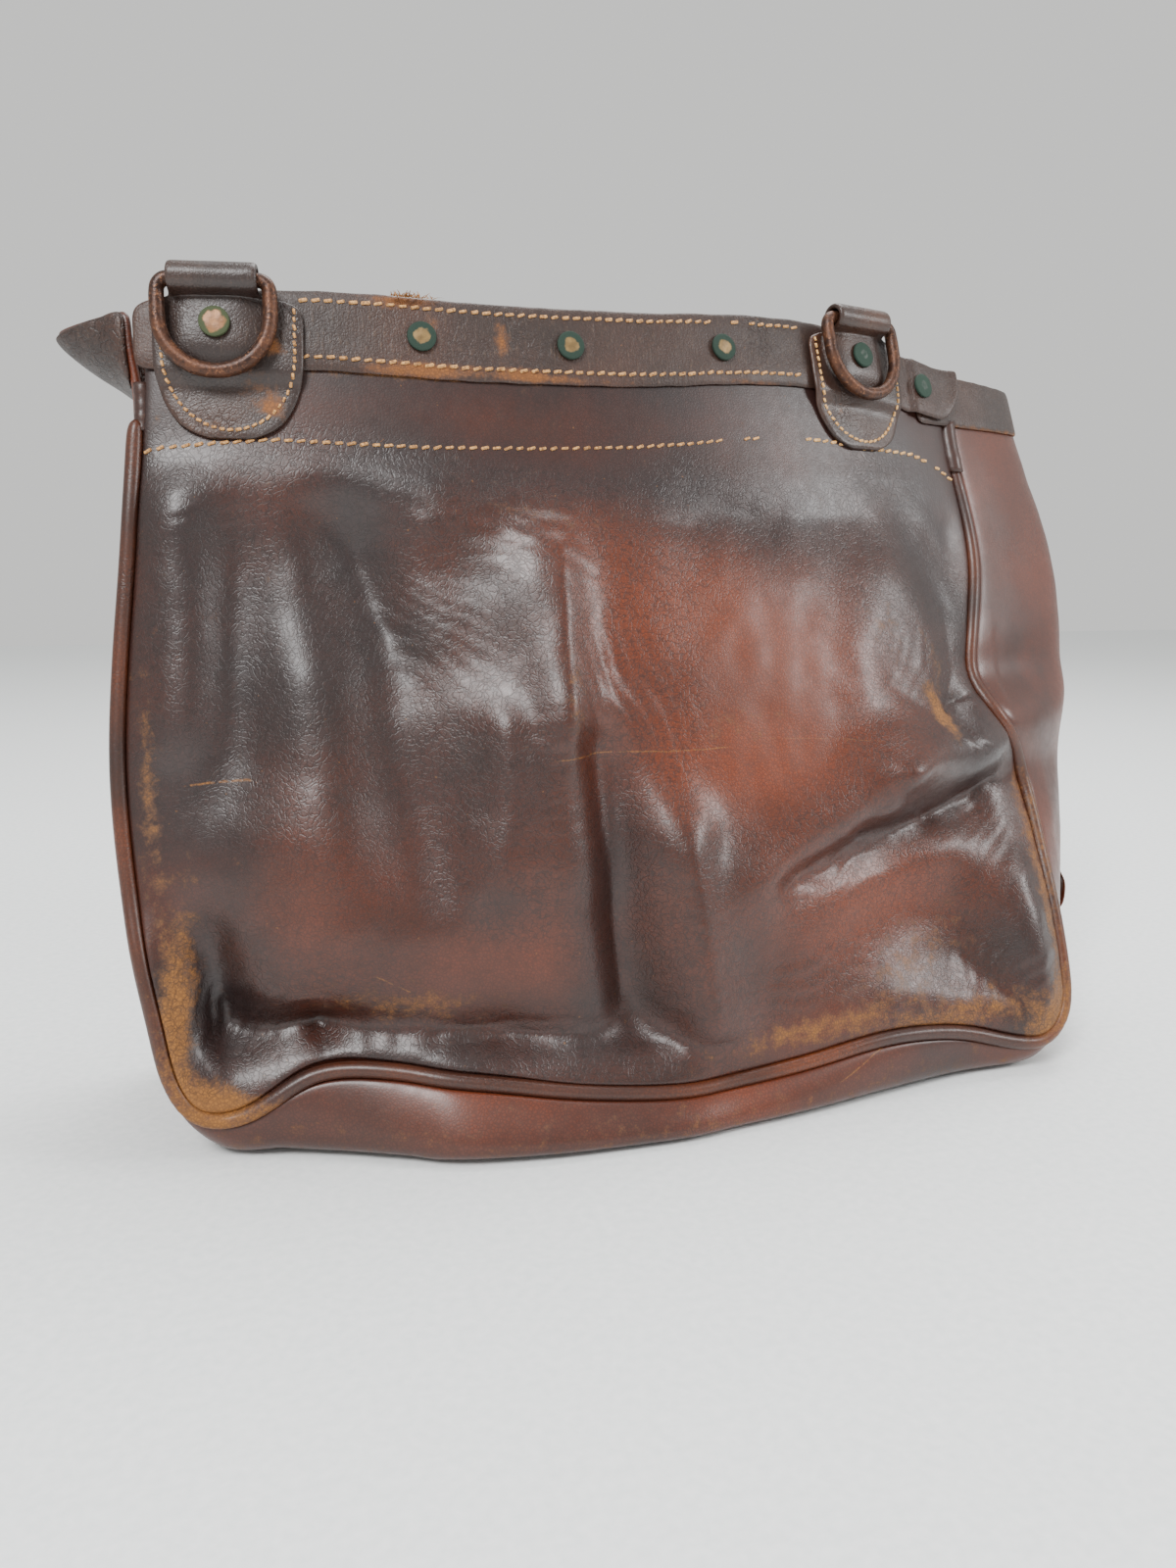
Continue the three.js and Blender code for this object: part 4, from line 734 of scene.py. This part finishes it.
firstHead = rivetHead()
rivetRows = [
    ("left_tab_rivet", "LeftTabRivet", tabBrass), ("right_tab_rivet", "RightTabRivet", darkBrass),
    ("band_rivet_left", "LeftBandRivet", bandBrass), ("band_rivet_middle", "MiddleBandRivet", bandBrass),
    ("band_rivet_right", "RightBandRivet", bandBrass), ("corner_rivet", "CornerRivet", darkBrass),
]
for nodeName, pieceName, brass in rivetRows:
    head = bpy.data.objects.new(pieceName, firstHead.data.copy())
    bpy.context.collection.objects.link(head)
    seat, axis = seatOf(nodeName)
    points = places(head)
    outward = np.hypot(points[:, 0], points[:, 1]) / rivet["radius"]
    turn = np.array(Vector((0, 0, 1)).rotation_difference(Vector(axis)).to_matrix())
    points = points @ turn.T + seat
    points += axis * (rivet["dents"] * roughField(points, rivet["dentSize"], 44))[:, None]
    moveTo(head, points)
    mark(head, "outward", outward)
    settle(head, brass, "bag", "aged_brass", nodeName)
bpy.data.objects.remove(firstHead)
print("rings and rivets done")


stitch = {
    "thick": 1.5 * mm, "bandPitch": 5.1 * mm, "tabPitch": 3.3 * mm, "share": 0.72, "slant": 12,
    "sides": 7, "body": 0.8, "endOut": 0.1, "endDown": 0.22, "endSize": 0.55,      # shape, for a length of 1
    "slantSpread": 6, "lengths": (0.85, 1.08), "widths": (0.85, 1.1), "raised": 0.12, "torn": 0.75,
}


def stitchShape():
    # one stitch lying along X: a short thread with rounded, sunken ends
    bpy.ops.object.select_all(action="DESELECT")
    bpy.ops.mesh.primitive_cylinder_add(vertices=stitch["sides"], radius=0.5, depth=stitch["body"],
                                        rotation=(0, math.pi / 2, 0))
    thread = bpy.context.object
    bpy.ops.object.transform_apply(location=True, rotation=True, scale=True)
    bpy.ops.object.mode_set(mode="EDIT")
    for way in (-1, 1):
        bpy.ops.mesh.select_all(action="DESELECT")
        bpy.ops.object.mode_set(mode="OBJECT")
        for face in thread.data.polygons:
            face.select = face.normal.x * way > 0.9
        bpy.ops.object.mode_set(mode="EDIT")
        sunk = (way * stitch["endOut"], 0, -stitch["endDown"])
        bpy.ops.mesh.extrude_region_move(TRANSFORM_OT_translate={"value": sunk})
        bpy.ops.transform.resize(value=(1, stitch["endSize"], stitch["endSize"]))
    bpy.ops.object.mode_set(mode="OBJECT")
    bpy.ops.object.shade_smooth()
    return thread


firstStitch = stitchShape()
stitchPoints = places(firstStitch)
stitchFaces = [tuple(face.vertices) for face in firstStitch.data.polygons]
bpy.data.objects.remove(firstStitch)


def treeOf(piece):
    faces = [list(face.vertices) for face in piece.data.polygons]
    return BVHTree.FromPolygons([Vector(p) for p in places(piece)], faces)


def evenly(line, pitch):
    # points at one spacing along a chain of points
    line = np.array(line)
    lengths = np.concatenate([[0], np.cumsum(np.linalg.norm(np.diff(line, axis=0), axis=1))])
    at = np.arange(pitch / 2, lengths[-1], pitch)
    return np.stack([np.interp(at, lengths, line[:, k]) for k in range(3)], -1)


drop = {"from": 50 * mm, "reach": 120 * mm}


def onSurface(tree, line, way):
    # each point is dropped onto the leather along way
    out = []
    for p in line:
        spot, normal, _, _ = tree.ray_cast(Vector(p) - Vector(way) * drop["from"], Vector(way), drop["reach"])
        if spot is not None:
            out.append((spot, normal if normal.dot(Vector(way)) < 0 else -normal))
    return out


def sewRow(name, spots, pitch, material, missing=(), thick=1.0):
    # places a copy of the stitch between neighbouring spots
    points, faces = [], []
    for i, (spot, normal) in enumerate(spots):
        if any(a <= i / max(len(spots), 1) <= b for a, b in missing) and chance.random() < stitch["torn"]:
            continue
        before = spots[max(i - 1, 0)][0]
        after = spots[min(i + 1, len(spots) - 1)][0]
        along = after - before
        if along.length > 4 * pitch or along.length < 1e-6:
            continue
        along = (along - normal * along.dot(normal)).normalized()
        side = normal.cross(along)
        turn = math.radians(stitch["slant"] + chance.uniform(-stitch["slantSpread"], stitch["slantSpread"]))
        run = along * math.cos(turn) + side * math.sin(turn)
        across = normal.cross(run)
        long = pitch * stitch["share"] * chance.uniform(*stitch["lengths"])
        wide = stitch["thick"] * thick * chance.uniform(*stitch["widths"])
        place = Matrix((run * long, across * wide, normal * wide)).transposed()
        base = len(points)
        seat = spot + normal * (wide * stitch["raised"])
        points += [seat + place @ Vector(p) for p in stitchPoints]
        faces += [[base + k for k in face] for face in stitchFaces]
    row = meshPiece(name, points, faces)
    activate(row)
    bpy.ops.object.shade_smooth()
    return settle(row, material, "bag", "band_leather")


def edgeLine(piece, low, high, top, inset, step):
    # a line along a band's upper or lower edge, inset from it; x range and inset in mm
    points = places(piece)
    line = []
    for x in np.arange(low, high, step):
        near = points[np.abs(points[:, 0] / mm - x) < step * 0.8]
        if len(near) == 0:
            continue
        z = near[:, 2].max() - inset * mm if top else near[:, 2].min() + inset * mm
        line.append((x * mm, near[:, 1].mean(), z))
    return line


bandRows = {
    "near": {"low": -150, "high": 90, "step": 4}, "far": {"low": -196, "high": 168, "step": 6},
    "fromTop": 4.2, "fromBottom": 5.5, "missing": ((0.77, 0.86),),      # missing: shares of the row
}
nearBand = bandPieces["near_rim_band"]
bandTree = treeOf(nearBand)
towards = (0, 1, 0)
span = bandRows["near"]
line = edgeLine(nearBand, span["low"], span["high"], True, bandRows["fromTop"], span["step"])
topRow = onSurface(bandTree, evenly(line, stitch["bandPitch"]), towards)
sewRow("UpperBandStitches", topRow, stitch["bandPitch"], linenThread, missing=bandRows["missing"])
line = edgeLine(nearBand, span["low"], span["high"], False, bandRows["fromBottom"], span["step"])
lowRow = onSurface(bandTree, evenly(line, stitch["bandPitch"]), towards)
sewRow("LowerBandStitches", lowRow, stitch["bandPitch"], linenThread)

# the inner facing shows as one row across the panel
facing = {
    # x, z in mm
    "line": [(-214, 290), (-207, 292), (-188, 294), (-163, 296), (-135, 295), (-100, 294), (-48, 295),
             (-8, 297), (23, 300), (44, 303), (78, 306), (103, 305), (121, 303), (136, 303), (156, 302),
             (172, 297), (183, 291)],
    "split": 0.72, "thick": 0.9, "missingLeft": ((0.88, 1.0),), "missingRight": ((0.0, 0.12), (0.75, 0.85)),
}
line = evenly([(x * mm, 0, z * mm) for x, z in facing["line"]], stitch["bandPitch"])
spots = onSurface(treeOf(nearPanel), line, towards)
split = int(len(spots) * facing["split"])
sewRow("FacingStitches", spots[:split], stitch["bandPitch"], linenThread, missing=facing["missingLeft"],
       thick=facing["thick"])
sewRow("FacingStitchesRight", spots[split:], stitch["bandPitch"], brightThread,
       missing=facing["missingRight"])

# tongues: stitched parallel to their rounded edge
tongue = {
    "half": 30, "length": 61, "round": 34, "inset": 3.6, "bar": 1, "shoulder": 7,      # mm
    "aside": {"left": 4.5, "right": 0}, "sideSteps": 16, "roundSteps": 28, "thick": 0.85,
    "thread": {"left": linenThread, "right": brightThread},
}
for joint in frame["joints"]:
    side = "left" if joint["child"] == "ring_left" else "right"
    bar = Vector(joint["pos_m"])
    along = -Vector(joint["axis"]).normalized()
    hang = Vector(places(frame["nodes"][side + "_d_ring"]).mean(0)) - bar
    up = -(hang - along * hang.dot(along)).normalized()
    front = along.cross(up).normalized()
    straight = tongue["length"] - tongue["round"]
    half = tongue["half"] - tongue["inset"]
    last = 2 * tongue["sideSteps"] + tongue["roundSteps"]
    line = []
    for k in range(last + 1):      # down one straight side, round the bottom and up again
        fromTop = min(k, last - k)
        if fromTop < tongue["sideSteps"]:
            s = -1 if k < tongue["sideSteps"] else 1
            h = -tongue["shoulder"] - (straight - tongue["shoulder"]) * fromTop / tongue["sideSteps"]
        else:
            b = math.pi * (k - tongue["sideSteps"]) / tongue["roundSteps"]
            s, h = -math.cos(b), -straight - (tongue["round"] - tongue["inset"]) * math.sin(b)
        spot = bar + along * ((s * half + tongue["aside"][side]) * mm)
        line.append(tuple(spot + up * ((h - tongue["bar"]) * mm)))
    spots = onSurface(treeOf(tabPieces[side]), evenly(line, stitch["tabPitch"]), tuple(-front))
    sewRow(side.capitalize() + "TabStitches", spots, stitch["tabPitch"], tongue["thread"][side],
           thick=tongue["thick"])

farBand = bandPieces["far_rim_band"]
farTree = treeOf(farBand)
span = bandRows["far"]
for end, top, inset in (("Up", True, bandRows["fromTop"]), ("Low", False, bandRows["fromBottom"])):
    line = edgeLine(farBand, span["low"], span["high"], top, inset, span["step"])
    spots = onSurface(farTree, evenly(line, stitch["bandPitch"]), (0, -1, 0))
    sewRow("FarBandStitches" + end, spots, stitch["bandPitch"], linenThread)

keeperRows = {"fromSides": 5 * mm, "fromEnds": 7 * mm}
for side, way in (("left", (1, 0, 0)), ("right", (-1, 0, 0))):
    points = places(keeperPieces[side])
    keeperTree = treeOf(keeperPieces[side])
    x = points[:, 0].mean()
    y0, y1 = points[:, 1].min() + keeperRows["fromSides"], points[:, 1].max() - keeperRows["fromSides"]
    for end, z in (("Up", points[:, 2].max() - keeperRows["fromEnds"]),
                   ("Low", points[:, 2].min() + keeperRows["fromEnds"])):
        spots = onSurface(keeperTree, evenly([(x, y0, z), (x, y1, z)], stitch["bandPitch"]), way)
        sewRow(side.capitalize() + "KeeperStitches" + end, spots, stitch["bandPitch"], brightThread)
print("stitches done")


tuft = {
    "from": -113, "to": -93, "thickest": 6, "fibres": 90, "long": 5.5, "thick": 0.28, "across": 1.2,      # mm
    "leanX": (-1, 1.2), "leanY": (-0.8, 0.5), "leanZ": (0.15, 0.8), "lengths": (0.3, 1.0), "droop": 0.35,
    "taper": 0.75, "sides": 4, "parts": 3,
}


def frayedTuft():
    # bent fibres of torn suede that stand up from the rim's edge
    top = edgeLine(nearBand, tuft["from"] - 3, tuft["to"] + 3, True, 0.4, 2.0)
    n, parts = tuft["sides"], tuft["parts"]
    points, faces = [], []
    for _ in range(tuft["fibres"]):
        x = chance.triangular(tuft["from"], tuft["to"], tuft["from"] + tuft["thickest"]) * mm
        spot = Vector([np.interp(x, [p[0] for p in top], [p[k] for p in top]) for k in range(3)])
        spot.y += chance.uniform(-tuft["across"], tuft["across"]) * mm
        lean = Vector([chance.uniform(*tuft[key]) for key in ("leanX", "leanY", "leanZ")]).normalized()
        long = tuft["long"] * chance.uniform(*tuft["lengths"]) * mm
        base = len(points)
        for k in range(parts + 1):
            t = k / parts
            centre = spot + lean * (long * t) + Vector((0, 0, -tuft["droop"] * long * t * t))
            wide = tuft["thick"] * mm * (1 - tuft["taper"] * t)
            for c in range(n):
                a = 2 * math.pi * c / n
                points.append(centre + Vector((math.cos(a) * wide, math.sin(a) * wide, 0)))
        for k in range(parts):
            ring = base + k * n
            for c in range(n):
                d = (c + 1) % n
                faces.append((ring + c, ring + d, ring + n + d, ring + n + c))
        faces.append([base + c for c in reversed(range(n))])
        faces.append([base + parts * n + c for c in range(n)])
    return meshPiece("FrayedTuft", points, faces)


settle(frayedTuft(), suedeFray, "bag", "band_leather")
print("tuft done")

room = {"floorSize": 8, "air": "#f3f3f1", "airStrength": 0.93}
bpy.ops.object.select_all(action="DESELECT")
bpy.ops.mesh.primitive_plane_add(size=room["floorSize"], location=(0, 0, 0))
floor = bpy.context.object
floor.name = "Floor"
floor.data.materials.append(paleBoard())

world = bpy.data.worlds.new("Soft room")
bpy.context.scene.world = world
world.use_nodes = True
world.node_tree.nodes["Background"].inputs[0].default_value = linear(room["air"])
world.node_tree.nodes["Background"].inputs[1].default_value = room["airStrength"]

lightRows = [
    # place, aim, size, watts
    {"name": "Window", "at": (-1.1, -1.5, 1.9), "aim": (0, 0, 0.2), "size": 0.8, "power": 72},
    {"name": "Sky", "at": (0.5, 0.6, 2.2), "aim": (0, 0, 0.2), "size": 1.4, "power": 42},
    {"name": "Side", "at": (1.7, -0.9, 1.0), "aim": (0.1, 0, 0.2), "size": 0.5, "power": 20},
]
for row in lightRows:
    lamp = bpy.data.lights.new(row["name"], "AREA")
    lamp.size = row["size"]
    lamp.energy = row["power"]
    holder = bpy.data.objects.new(row["name"], lamp)
    bpy.context.collection.objects.link(holder)
    holder.location = row["at"]
    holder.rotation_euler = (Vector(row["aim"]) - Vector(row["at"])).to_track_quat("-Z", "Y").to_euler()

view = {"at": (-0.1667, -0.5264, 0.2405), "yaw": 15, "pitch": 10, "lens": 27.05, "sensor": 36}
cameraData = bpy.data.cameras.new("Photo camera")
cameraData.lens = view["lens"]
cameraData.sensor_width = view["sensor"]
cameraData.clip_start = 0.01
camera = bpy.data.objects.new("Photo camera", cameraData)
bpy.context.collection.objects.link(camera)
camera.location = view["at"]
camera.rotation_euler = (math.radians(90 - view["pitch"]), 0, -math.radians(view["yaw"]))
bpy.context.scene.camera = camera

print("scene done")
